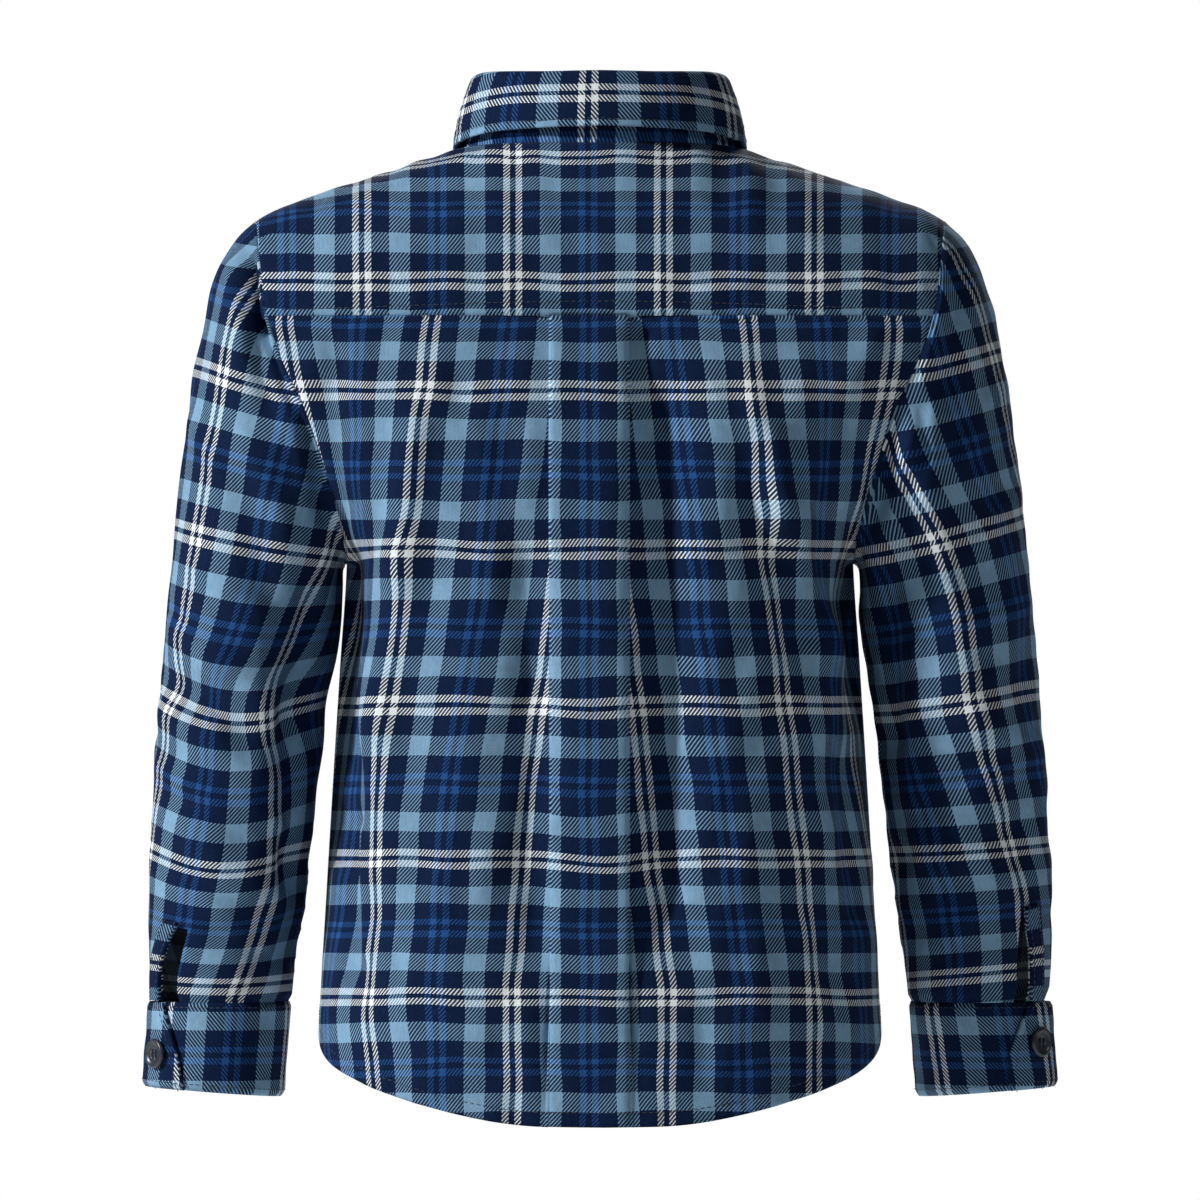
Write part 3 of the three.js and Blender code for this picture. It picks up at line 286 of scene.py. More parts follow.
def read(table, name, at):
    """A smooth curve through one column of a table, at any places between its rows."""
    keys = list(table.values())[0]
    values = table[name]
    at = np.clip(np.asarray(at, float), keys[0], keys[-1])
    i = np.clip(np.searchsorted(keys, at, side="right") - 1, 0, len(keys) - 2)
    low = np.maximum(np.arange(len(keys)) - 1, 0)
    high = np.minimum(np.arange(len(keys)) + 1, len(keys) - 1)
    slopes = (values[high] - values[low]) / (keys[high] - keys[low])
    run = keys[i + 1] - keys[i]
    t = (at - keys[i]) / run
    return ((2 * t**3 - 3 * t**2 + 1) * values[i] + (t**3 - 2 * t**2 + t) * run * slopes[i]
            + (3 * t**2 - 2 * t**3) * values[i + 1] + (t**3 - t**2) * run * slopes[i + 1])


def smooth(x, low, high):
    t = np.clip((np.asarray(x, float) - low) / (high - low), 0, 1)
    return t * t * (3 - 2 * t)


def lerp(a, b, t):
    return a + (b - a) * t


def relief(folds, x, z, side=1):
    """Height of all folds of a table at places seen in front view."""
    height = np.zeros(np.broadcast(x, z).shape)
    for x0, z0, x1, z1, wide, rise in zip(*folds.values()):
        x0, x1 = x0 * side, x1 * side
        dx, dz = x1 - x0, z1 - z0
        length = math.hypot(dx, dz)
        along = ((x - x0) * dx + (z - z0) * dz) / length
        past = np.maximum(np.maximum(-along, along - length), 0)
        beside = ((x - x0) * dz - (z - z0) * dx) / length
        height += rise * np.exp(-((beside / wide) ** 2) - (past / (1.6 * wide)) ** 2)
    return height


def ripple(a, b, seed, size=1.0):
    """Slow, uneven waves of a cloth that has been worn, about -1 to 1."""
    rng = np.random.default_rng(seed)
    total = np.zeros(np.broadcast(a, b).shape)
    for k in range(7):
        turn = rng.uniform(0, math.tau)
        wave = size * rng.uniform(13, 34)
        total += np.sin((a * math.cos(turn) + b * math.sin(turn)) * math.tau / wave + rng.uniform(0, math.tau))
    return total / 4


def seen(x, y, z):
    """Where the camera sees a point, on the upright plane through the origin."""
    near = CAMERA["y"] / (CAMERA["y"] - y)
    return x * near, CAMERA["z"] + (z - CAMERA["z"]) * near


def armhole(turn):
    z = ARMHOLE["z"] + ARMHOLE["high"] * np.cos(np.radians(turn))
    return np.stack([read(ARMHOLE_REACH, "x", z), ARMHOLE["deep"] * np.sin(np.radians(turn)), z], -1)


SECTION_STEPS = 60


def section(side, z):
    """Level sections of the back (side 1) or front (side -1), one for each height."""
    z = np.asarray(z, float)
    depth = read(BODY, "back" if side > 0 else "front", z)
    power = 2 / read(BODY, "square", z)
    high = (z - ARMHOLE["z"]) / ARMHOLE["high"]
    is_open = high > -1
    edge_x = np.where(is_open, read(ARMHOLE_REACH, "x", z), read(BODY, "half", z))
    edge_y = np.where(is_open, ARMHOLE["deep"] * np.sqrt(np.maximum(1 - high * high, 0)), 0)
    end = np.arccos((edge_y / depth) ** (1 / power))
    half = edge_x / np.sin(end) ** power
    turn = end[..., None] * np.linspace(0, 1, SECTION_STEPS + 1)
    px = half[..., None] * np.sin(turn) ** power[..., None]
    py = depth[..., None] * np.maximum(np.cos(turn), 0) ** power[..., None]
    steps = np.hypot(np.diff(px, axis=-1), np.diff(py, axis=-1))
    lengths = np.concatenate([np.zeros(z.shape + (1,)), np.cumsum(steps, -1)], -1)
    return {"side": side, "z": z, "px": px, "py": py, "lengths": lengths, "total": lengths[..., -1],
            "depth": depth, "half": half, "power": power}


def place(curve, distance, level):
    """Points on level sections at a distance from the middle, raised by level."""
    mirror = np.where(distance < 0, -1, 1)
    wanted = np.clip(np.abs(distance), 0, curve["total"])
    k = np.clip((curve["lengths"] < wanted[..., None]).sum(-1) - 1, 0, SECTION_STEPS - 1)[..., None]

    def pick(name, at):
        values = np.broadcast_to(curve[name], wanted.shape + curve[name].shape[-1:])
        return np.take_along_axis(values, at, -1)[..., 0]
    l0, l1 = pick("lengths", k), pick("lengths", k + 1)
    x0, x1, y0, y1 = pick("px", k), pick("px", k + 1), pick("py", k), pick("py", k + 1)
    t = (wanted - l0) / (l1 - l0)
    beyond = np.abs(distance) - wanted
    tx, ty = (x1 - x0) / (l1 - l0), (y1 - y0) / (l1 - l0)
    x = lerp(x0, x1, t) + tx * beyond - ty * level
    y = lerp(y0, y1, t) + ty * beyond + tx * level
    return np.stack([mirror * x, curve["side"] * y, np.broadcast_to(curve["z"], x.shape)], -1)


TOP = {side: section(side, np.array(float(YOKE_SEAM))) for side in (1, -1)}


def shoulder_depth(x, turn):
    def at(curve):
        reach = np.minimum(np.abs(x) / curve["half"], 1)
        return curve["depth"] * np.maximum(1 - reach ** (2 / curve["power"]), 0) ** (curve["power"] / 2)
    return np.where(np.asarray(turn) >= 0, at(TOP[1]), at(TOP[-1]))


def ridge(x):
    tip = np.maximum(np.abs(x) - RIDGE["from"], 0) / RIDGE["run"]
    return RIDGE["top"] - RIDGE["slope"] * np.hypot(x, RIDGE["soften"]) - RIDGE["drop"] * tip * tip


def shoulder(x, turn):
    y = shoulder_depth(x, turn) * np.sin(np.radians(turn))
    return np.stack([x, y, YOKE_SEAM + (ridge(x) - YOKE_SEAM) * np.cos(np.radians(turn))], -1)


def shoulder_turn(x, y):
    return np.degrees(np.arcsin(np.clip(y / shoulder_depth(x, y), -1, 1)))


def shoulder_path(start, end, t):
    """Points on the shoulder form from one edge to another, which meet both exactly."""
    turn_a, turn_b = shoulder_turn(start[..., 0], start[..., 1]), shoulder_turn(end[..., 0], end[..., 1])
    off_a = start - shoulder(start[..., 0], turn_a)
    off_b = end - shoulder(end[..., 0], turn_b)
    t = np.asarray(t, float)
    point = shoulder(lerp(start[..., 0], end[..., 0], t), lerp(turn_a, turn_b, t))
    return point + off_a * ((1 - t) ** 2)[..., None] + off_b * (t * t)[..., None]


def neck(turn, out=0.0):
    middle = (NECK["back"] + NECK["front"]) / 2
    deep = (NECK["back"] - NECK["front"]) / 2
    turn = np.asarray(turn, float)
    z = read(NECK_DROP, "z", 180 - np.abs(180 - np.abs(turn)))
    x = (NECK["half"] + out) * np.sin(np.radians(turn))
    y = middle + (deep + out) * np.cos(np.radians(turn))
    return np.stack([x, y, z + 0 * x], -1)


NECK_FRONT_TURN = 123
NECK_CORNER_TURN = 36


def arc(points, axis):
    """Length along a grid of points, from its first row or column."""
    steps = np.linalg.norm(np.diff(points, axis=axis), axis=-1)
    pad = [(0, 0), (0, 0)]
    pad[axis] = (1, 0)
    return np.cumsum(np.pad(steps, pad), axis=axis)


def grid_normals(points):
    across = np.gradient(points, axis=1)
    up = np.gradient(points, axis=0)
    normal = np.cross(across, up)
    return normal / np.maximum(np.linalg.norm(normal, axis=-1, keepdims=True), 1e-9)


# Lengths of the two waves of a seam's gathers, their height, and how far they reach into the cloth
PUCKER = {"wave": 7.3, "drift": 9.1, "short_wave": 4.1, "height": 0.16, "reach": 7.0}


def pucker(along, away, seed):
    """Small gathers that a stitched seam draws into the cloth beside it."""
    wave = np.sin(along * math.tau / PUCKER["wave"] + 1.7 * np.sin(along / PUCKER["drift"] + seed))
    wave = wave + 0.6 * np.sin(along * math.tau / PUCKER["short_wave"] + seed)
    return PUCKER["height"] * wave * np.exp(-np.maximum(away, 0) / PUCKER["reach"]) * smooth(away, 0.0, 1.5)


# Widths over which folds fade out at a side edge and below the yoke seam, and creases at both
FOLD_FADE = 14
SEAM_FADE = 25
CREASE_FADE = 8


# Back panel

def pleat_depth(z):
    """How far each edge of the pleat is folded under at a height, and below 0 how far it lies open."""
    return lerp(PLEAT["hem"], PLEAT["top"], np.clip((z - PLEAT["foot"]) / (YOKE_SEAM - PLEAT["foot"]), 0, 1))


def pleat_profile(z):
    """Half of the pleat across the cloth at each height: distance from its middle, level and cloth distance."""
    depth = pleat_depth(z)
    step = PLEAT["step"] * (1 - 0.75 * (1 - smooth(z, PLEAT["soften_to"], PLEAT["soften_from"])))
    fold = np.where(np.abs(depth) < 0.05, 0.05, depth)
    lean = 0.45 * step * np.maximum(1 - np.abs(fold) / 1.2, 0)
    half = PLEAT["half"] + 0 * z
    under = np.maximum(-fold, 0)
    deep = np.maximum(fold, 0)
    turn = np.clip(deep / 3, 0, 1)
    found = [
        (half + under + 9, -0.6 * step, deep + half + under + 9 + deep),
        (half + under + 5, -0.9 * step, deep + half + under + 5 + deep),
        (half + under + 2.5, -step, deep + half + under + 2.5 + deep),
        (half - 0.5 * fold, -step, half + 1.5 * deep),
        (half - fold, -step, half + deep + 0.3),
        (half - fold - 0.8 * turn, -0.5 * step - 0.5 * lean, half + deep),
        (half - fold, -lean, half + deep - 0.3),
        (half - 0.5 * fold, 0 * step, half + 0.5 * deep),
        (half - 0.2 * turn, 0.4 * lean, half + 0.2),
        (half + 0.55 * turn, 0.5 * step + 0.5 * lean, half),
        (half - 0.3, step * 0.96, half - 0.3),
        (half - 2.0, step * 1.06, half - 2.0),
        (half - 5.0, step, half - 5.0),
        (half * 0.4, step * 0.96, half * 0.4),
    ]
    # Below the end of the folded part the cloth lies open, with only a soft step left
    for k in range(3, 9):
        s, h, u = found[k]
        opened = half + under * (9.6 - k) / 7
        found[k] = (np.where(depth < 0, opened, s), h, np.where(depth < 0, opened, u))
    return found


BACK_ROWS = 190
BACK_SIDE_COLUMNS = 70
SEAM_SETBACK = 0.2


def back_grid():
    """Points and cloth places of the back panel, from its curved hem to the yoke seam."""
    part_z = np.linspace(0, 1, BACK_ROWS)[:, None]

    def columns(z):
        curve = section(1, z)
        list_s, list_h, list_u = [], [], []
        half = pleat_profile(z)
        for side in (1, -1):
            edge = side * (curve["total"] - SEAM_SETBACK)
            inner = PLEAT["x"] + side * half[0][0]
            s_run, h_run = [], []
            for k in range(BACK_SIDE_COLUMNS):
                t = k / BACK_SIDE_COLUMNS
                s_run.append(lerp(edge, inner, t))
                h_run.append(-0.6 * PLEAT["step"] * smooth(t, 0.7, 1) + 0 * z)
            hidden = 2 * np.maximum(pleat_depth(z), 0)
            u_run = [side * (s - PLEAT["x"]) + hidden for s in s_run]
            for s, h, u in half:
                s_run.append(PLEAT["x"] + side * s)
                h_run.append(h)
                u_run.append(u)
            u_run = [side * u for u in u_run]
            if side < 0:
                s_run, h_run, u_run = s_run[::-1], h_run[::-1], u_run[::-1]
            else:
                s_run.append(PLEAT["x"] + 0 * z)
                h_run.append(half[-1][1])
                u_run.append(0 * z)
            list_s += s_run
            list_h += h_run
            list_u += u_run
        return curve, [np.stack(np.broadcast_arrays(*group), -1) for group in (list_s, list_h, list_u)]

    curve, (s_at, _, _) = columns(np.array([-300.0]))
    part = np.minimum(np.abs(s_at[0]) / curve["total"][0], 1)
    hem = read(HEM, "z", part)[None, :]
    z = lerp(hem, YOKE_SEAM - SEAM_SETBACK, part_z)
    s, h, u = [np.zeros_like(z) for _ in range(3)]
    for j in range(z.shape[1]):
        _, (sj, hj, uj) = columns(z[:, j])
        s[:, j], h[:, j], u[:, j] = sj[:, j], hj[:, j], uj[:, j]
    curve = section(1, z)
    flat = place(curve, s, np.zeros_like(z))
    px, pz = seen(flat[..., 0], flat[..., 1], z)
    edges = smooth(curve["total"] - np.abs(s), 0, FOLD_FADE) * smooth(YOKE_SEAM - z, 0, SEAM_FADE)
    level = h + relief(BACK_FOLDS, flat[..., 0], z) * edges
    fine = smooth(curve["total"] - np.abs(s), 0, CREASE_FADE) * smooth(YOKE_SEAM - z, 0, CREASE_FADE)
    level += (relief(BACK_CREASES, flat[..., 0], z) + 0.55 * ripple(flat[..., 0], 0.55 * z, 3)) * fine
    level += pucker(u, YOKE_SEAM - z, 11) + pucker(u, z - hem, 12) * 0.8
    points = place(curve, s, level)
    # Cloth taken up by the diagonal folds at each side, and a little less of it in the left of the pleat
    for side in (1, -1):
        here = np.where(u * side > 0, side, 0)
        u = u + here * read(BACK_TAKEN[side], "cloth", pz) * smooth(u * side, 112, 148)
    u = u + read(BACK_SWING, "cloth", pz) * smooth(u, 50, 100)
    beside = np.exp(-(((pz - PLEAT_TAKEN["z"]) / PLEAT_TAKEN["tall"]) ** 2))
    u = u - np.where(u > PLEAT_TAKEN["from"], PLEAT_TAKEN["cloth"], 0) * beside
    off_pleat = ((s - PLEAT["x"]) / PLEAT_SAG["wide"]) ** 2
    sag = PLEAT_SAG["drop"] * np.exp(-off_pleat - ((pz - PLEAT_SAG["z"]) / PLEAT_SAG["tall"]) ** 2)
    v = read(BACK_WEFT, "v", pz + sag) + 0.7 * ripple(px, pz, 5, CHECK_WAVE)
    return points, u + 0.6 * ripple(px, pz, 6, CHECK_WAVE), v


# Yoke

YOKE_ROWS = 56
YOKE_ARM_COLUMNS = 56
YOKE_BACK_COLUMNS = 70
BACK_CORNER_TURN = math.degrees(math.acos((YOKE_SEAM - ARMHOLE["z"]) / ARMHOLE["high"]))
NECK_SETBACK = DOUBLE / 2 + 0.4 + 0.2


def yoke_grid():
    """Points and cloth places of the yoke, from its outer seams to the neck."""
    turns, edges = [], []
    for k in range(YOKE_ARM_COLUMNS):
        t = k / YOKE_ARM_COLUMNS
        turns.append(lerp(NECK_FRONT_TURN, NECK_CORNER_TURN, t))
        edges.append(armhole(np.array(lerp(ARMHOLE["front_seam"], BACK_CORNER_TURN, t))))
    for k in range(YOKE_BACK_COLUMNS):
        t = k / YOKE_BACK_COLUMNS
        turns.append(NECK_CORNER_TURN * (1 - t))
        edges.append(place(TOP[1], np.array(float(TOP[1]["total"]) * (1 - t)), np.array(0.0)))
    flip = np.array([-1, 1, 1])
    turns = np.array(turns + [0.0] + [-t for t in turns[::-1]])
    edges = np.array(edges + [place(TOP[1], np.array(0.0), np.array(0.0))] + [e * flip for e in edges[::-1]])
    start = neck(turns)
    length = np.linalg.norm(edges - start, axis=-1)
    t = lerp(NECK_SETBACK / length, 1 - SEAM_SETBACK / length, np.linspace(1, 0, YOKE_ROWS)[:, None])
    start = np.repeat(start[None], YOKE_ROWS, 0)
    end = np.repeat(edges[None], YOKE_ROWS, 0)
    points = shoulder_path(start, end, t)
    x, y, z = points[..., 0], points[..., 1], points[..., 2]
    # Waves of the yoke fade out at its seams
    away = np.minimum(t * length, (1 - t) * length)
    lift = 0.55 * ripple(x, z + y, 21) * smooth(away, 0, 10)
    normal = grid_normals(points)
    points = points + normal * (lift + pucker(x + y, (1 - t) * length, 22))[..., None]
    points[:, [0, -1], 1] += SEAM_SETBACK
    px, pz = seen(x, y, z)
    back = read(YOKE_WEFT, "v", pz)
    # In front of the shoulder ridge the check carries on straight, as if the cloth were folded down over it
    slope = math.atan(RIDGE["slope"])
    drop = np.maximum(ridge(x) - z, 0) * (y < 0)
    aside = drop * math.sin(slope)
    ahead = np.sqrt(np.maximum(np.minimum(y, 0) ** 2 + drop**2 - aside**2, 0))
    over = read(YOKE_WEFT, "v", ridge(np.abs(x) + aside * math.cos(slope))) - ahead * math.cos(slope)
    blend = YOKE_CHECK["blend"]
    v = np.where(y >= 0, lerp(over, back, np.clip(y / blend, 0, 1)), over)
    v = v - YOKE_CHECK["eased"] * np.clip(blend - y, 0, blend)
    unfolded = np.sign(x) * (aside * math.cos(slope) + ahead * math.sin(slope))
    u = (px - YOKE_CHECK["x"]) * YOKE_CHECK["scale"] + unfolded
    v = -v + 0.5 * ripple(px, pz, 24, CHECK_WAVE)
    # Seam allowance, turned in under the sleeves and the back panel
    past = points[:1] - points[1:2]
    past = past / np.linalg.norm(past, axis=-1, keepdims=True)
    inward = -grid_normals(points)[:1]
    lip = [points[:1] + out * past + deep * inward for out, deep, _ in YOKE_LIP]
    u = np.concatenate([u[:1]] * len(YOKE_LIP) + [u])
    v = np.concatenate([v[:1] + cloth for _, _, cloth in YOKE_LIP] + [v])
    return np.concatenate(lip + [points]), u, v


# Fronts

FRONT_LOW_ROWS = 120
FRONT_TOP_ROWS = 44
FRONT_COLUMNS = 84
FRONT_NECK_PART = 0.45
NECK_GAP = 0.6


def front_top(part):
    """A front's upper edge: along the neck, then along the yoke's front seam."""
    edge_turn = 180 + math.degrees(math.asin(FRONT_OVERLAP / NECK["half"]))
    low = neck(lerp(edge_turn, NECK_FRONT_TURN, np.clip(part / FRONT_NECK_PART, 0, 1)))
    t = np.clip((part - FRONT_NECK_PART) / (1 - FRONT_NECK_PART), 0, 1)
    start = np.broadcast_to(neck(NECK_FRONT_TURN), low.shape)
    end = np.broadcast_to(armhole(np.array(float(ARMHOLE["front_seam"]))), low.shape)
    return np.where((part <= FRONT_NECK_PART)[..., None], low, shoulder_path(start, end, t))


def front_grid(side, tuck):
    """Points and cloth places of one front, from its hem to the neck; tuck is how far its edge lies under."""
    part = np.linspace(0, 1, FRONT_COLUMNS)[None, :]
    tucked = -tuck * (1 - smooth(part, 0.18, 0.38))
    low = np.linspace(0, 1, FRONT_LOW_ROWS + 1)[:-1, None]
    hem = read(HEM, "z", part) + FRONT_HEM_RISE * (1 - part)
    z = lerp(hem, YOKE_SEAM, low)
    curve = section(-1, z)
    s = lerp(-FRONT_OVERLAP, curve["total"] - SEAM_SETBACK, part)
    flat = place(curve, s, np.zeros_like(z))
    x = flat[..., 0] * side
    edges = smooth(curve["total"] - np.abs(s), 0, FOLD_FADE) * smooth(YOKE_SEAM - z, 0, SEAM_FADE) * smooth(s, 16, 30)
    folds = relief(FRONT_FOLDS, x, z) * edges
    fine = smooth(curve["total"] - np.abs(s), 0, CREASE_FADE) * smooth(YOKE_SEAM - z, 0, 20) * smooth(s, 15, 24)
    folds = folds + (relief(FRONT_CREASES, x, z) + 0.5 * ripple(x, 0.6 * z, 31 + side)) * fine
    folds = folds + pucker(s, z - hem, 33) * fine
    body = place(curve, s, tucked + folds)
    top = TOP[-1]
    s_top = lerp(-FRONT_OVERLAP, float(top["total"]) - SEAM_SETBACK, part)
    start = place(top, s_top, np.zeros_like(s_top))
    end = front_top(part)
    length = np.linalg.norm(end - start, axis=-1)
    t = np.linspace(0, 1, FRONT_TOP_ROWS + 1)[:, None] * (1 - NECK_GAP / length)
    count = t.shape[0]
    chest = shoulder_path(np.repeat(start, count, 0), np.repeat(end, count, 0), t)
    edge = armhole(lerp(-BACK_CORNER_TURN, ARMHOLE["front_seam"], t))
    # The armhole side is drawn out to the sleeve's seam
    first = np.broadcast_to(place(top, np.array(float(top["total"])), np.array(0.0)), edge.shape)
    last = np.broadcast_to(front_top(np.array([[1.0]])), edge.shape)
    drawn = shoulder_path(first, last, t)
    chest = chest + (edge - drawn) * (part**3)[..., None]
    chest[..., 1] -= tucked
    points = np.concatenate([body, chest], 0)
    rise = arc(points, 0)
    base = rise[FRONT_LOW_ROWS][None]
    v = np.where(points[..., 2] < YOKE_SEAM, points[..., 2] - YOKE_SEAM, rise - base)
    u = np.concatenate([np.broadcast_to(s, z.shape), np.repeat(s_top, count, 0)], 0) + FRONT_CHECK["across"]
    points[..., 0] *= side
    u = u * side
    if side < 0:
        points, u, v = points[:, ::-1], u[:, ::-1], v[:, ::-1]
    return points, u, v + FRONT_CHECK["down"]


PLACKET_COLUMNS = 15
PLACKET_TOP = 0.955
PLACKET_INSET = 0.6


def placket_grid():
    """Points and cloth places of the button strip on the left front."""
    x = -FRONT_OVERLAP + PLACKET_INSET + PLACKET_WIDE * np.linspace(0, 1, PLACKET_COLUMNS)[None, :]
    low = np.linspace(0, 1, FRONT_LOW_ROWS + 1)[:-1, None]
    z = lerp(HEM["z"][0] + FRONT_HEM_RISE + PLACKET_INSET, YOKE_SEAM, low) + 0 * x
    body = place(section(-1, z), x + 0 * z, ON_WALL + 0 * z)
    t = np.linspace(0, 1, FRONT_TOP_ROWS + 1)[:, None] * PLACKET_TOP
    start = place(TOP[-1], x, np.zeros_like(x))
    end = neck(180 - np.degrees(np.arcsin(x / NECK["half"])))
    count = t.shape[0]
    start, end = np.repeat(start, count, 0), np.repeat(end, count, 0)
    chest = shoulder_path(start, end, t)
    ahead = shoulder_path(start, end, np.minimum(t + 0.02, 1))
    up = ahead - chest
    up /= np.linalg.norm(up, axis=-1, keepdims=True)
    out = np.cross(np.broadcast_to([1.0, 0.0, 0.0], up.shape), up)
    out /= np.linalg.norm(out, axis=-1, keepdims=True)
    points = np.concatenate([body, chest + out * ON_WALL], 0)
    rise = arc(points, 0)
    v = np.where(points[..., 2] < YOKE_SEAM, points[..., 2] - YOKE_SEAM, rise - rise[FRONT_LOW_ROWS][None])
    return points, np.broadcast_to(x, v.shape) + FRONT_CHECK["across"], v + FRONT_CHECK["down"]


# Collar

STAND_COLUMNS = 230
STAND_ROWS = 14


def collar_height(turn):
    """Height of the band: its top runs level across the back and lower round to the front."""
    size = np.abs(turn)
    level = STAND["level"] * smooth(size, 20, 62) * (1 - smooth(size, 85, 125))
    return STAND["height"] + level - STAND["short"] * smooth(size, 90, 175)


def stand_points(part, turn):
    """Points of the band, part of the way up; its foot runs down into the neck seam and out at the sides."""
    layer = STAND["spread"] * (smooth(turn, 140, 165) - smooth(-turn, 140, 165))
    foot = 1 - smooth(part, 0, 0.14)
    flare = STAND["flare"] * smooth(np.abs(turn), 35, 80) * (1 - smooth(np.abs(turn), 105, 130))
    point = neck(turn, layer - STAND["lean"] * part + flare * foot)
    point[..., 2] += STAND["lift"] + collar_height(turn) * part - STAND["foot"] * foot
    return point


def stand_grid():
    end = 180 + STAND["overlap"]
    turn = np.linspace(end, -end, STAND_COLUMNS)[None, :]
    part = np.linspace(0, 1, STAND_ROWS)[:, None]
    points = stand_points(part, turn)
    run = arc(points, 1)
    u = run.max(axis=1, keepdims=True) / 2 - run
    return points, u + STAND_CHECK["across"], part * STAND["height"] + STAND_CHECK["up"] + 0 * turn


# End of the leaf at the front, and the place in its profile where the fold ends
FALL_END = 170
FALL_FOLD = 3
FALL_COLUMNS = 260
FALL_MEASURED_ROW = 12


def fall_points(place_at, turn):
    """Points of the leaf: place_at runs through the rows of its profile, turn round the neck."""
    side = np.where(turn < 0, -1, 1)
    size = np.abs(turn)
    top = neck(turn, -STAND["lean"])
    top[..., 2] += STAND["lift"] + collar_height(turn)
    edge = neck(side * read(FALL_EDGE, "edge", size), read(FALL_EDGE, "out", size))
    edge[..., 2] = read(FALL_EDGE, "z", size)
    down, out, lift = (read(FALL_PROFILE, name, place_at) for name in ("down", "out", "lift"))
    point = lerp(top, edge, down[..., None])
    point[..., 0] += np.sin(np.radians(turn)) * out
    point[..., 1] += np.cos(np.radians(turn)) * out
    point[..., 2] += DOUBLE / 2 + lift
    return point


def fall_grid():
    turn = np.linspace(FALL_END, -FALL_END, FALL_COLUMNS)[None, :]
    last = len(FALL_PROFILE["place"]) - 1
    at = np.concatenate([np.linspace(0, FALL_FOLD, 16), np.linspace(FALL_FOLD, last, 26)[1:]])[::-1][:, None]
    points = fall_points(at + 0 * turn, turn + 0 * at)
    run = arc(points[::-1], 0)[::-1]
    wave = 0.22 * np.sin(run / 6.0) * ripple(turn + 0 * at, 40 * run, 41) * smooth(at, 2.5, 4)
    points = points + grid_normals(points) * wave[..., None]
    along = arc(points[-FALL_MEASURED_ROW][None], 1)
    u = (along.max() / 2 - along) + 0 * at
    lean = 1.0 + 0.02 * smooth(at, FALL_FOLD, last)
    fall = FALL_CHECK["down"] + FALL_CHECK["down_round"] * smooth(np.abs(turn), 30, 85)
    return points, (u * lean) + SETT_HALF - FALL_CHECK["across"], -(run - fall) - SETT_HALF + 0 * turn


# Sleeves

SLEEVE_ROWS = 190
SLEEVE_COLUMNS = 150
SLIT_COLUMN = 28
SLEEVE_BLEND_RINGS = 4


def sleeve_turn(ring, column, slit):
    """Turn round the sleeve: 0 at the outer rail, 90 at the back. The slit lies between two columns."""
    step = 360 / SLEEVE_COLUMNS
    plain = column * step + 0 * ring
    zm = (read(SLEEVE, "zo", ring) + read(SLEEVE, "zi", ring)) / 2
    depth = read(SLEEVE, "depth", ring)
    middle = 90 - read(slit, "turn", zm)
    half = np.degrees(read(slit, "half", zm) / depth)
    pull = smooth(-zm, 230, 300)
    left, right = (SLIT_COLUMN - 1) * step, SLIT_COLUMN * step
    wanted = np.where(column <= SLIT_COLUMN - 1, plain * ((middle - half) / left),
                      360 - (360 - plain) * ((360 - middle - half) / (360 - right)))
    return lerp(plain, wanted, pull)


def sleeve_points(ring, turn, side, level=0.0):
    """The solids' sleeve form at any ring and turn, with the folds on it, for the +X side."""
    xo, zo, xi, zi = (read(SLEEVE, name, ring) for name in ("xo", "zo", "xi", "zi"))
    depth, y0 = read(SLEEVE, "depth", ring), read(SLEEVE, "y", ring)
    cos, sin = np.cos(np.radians(turn)), np.sin(np.radians(turn))
    x = (xo + xi) / 2 + (xo - xi) / 2 * cos
    y = y0 + depth * sin
    z = (zo + zi) / 2 + (zo - zi) / 2 * cos
    fade = np.maximum(1 - ring / SLEEVE_BLEND_RINGS, 0)
    straight = lerp(SLEEVE["xi"][0], SLEEVE["xo"][0], (cos + 1) / 2)
    x = x + (armhole(turn)[..., 0] + 0.5 - straight) * fade * smooth(cos, -1, -0.85)
    back = np.maximum(sin, 0) ** 0.5
    front = np.maximum(-sin, 0) ** 0.5
    ends = smooth(ring, 0.2, 1.6) * smooth(LAST_RING - ring, 0, 2)
    folds = SLEEVE_FOLDS[side]
    height = relief(folds, x, z) * back + 0.7 * relief(folds, x - 6, z + 14) * front
    creases = SLEEVE_CREASES[side]
    small = (relief(creases, x, z) * back + relief(creases, x - 4, z + 22) * front
             + 0.55 * ripple(x + y, 0.9 * z + 0.4 * y, 50 + side))
    x = x - UNDERARM_TUCK[side] * smooth(-cos, 0.5, 1) * smooth(ring, 0, 0.8) * (1 - smooth(-z, 205, 240))
    rx, rz = (xo - xi) / 2, (zo - zi) / 2
    slanted = np.hypot(rx, rz) > depth
    nx, ny, nz = rx * cos, depth * sin, np.where(slanted, 0, rz * cos)
    size = np.sqrt(nx * nx + ny * ny + nz * nz)
    push = height * ends + small * smooth(ring, 0.02, 0.3) * smooth(LAST_RING - ring, 0, 2) + level
    return np.stack([x + nx / size * push, y + ny / size * push, z + nz / size * push], -1)


OVAL_STEPS = 144


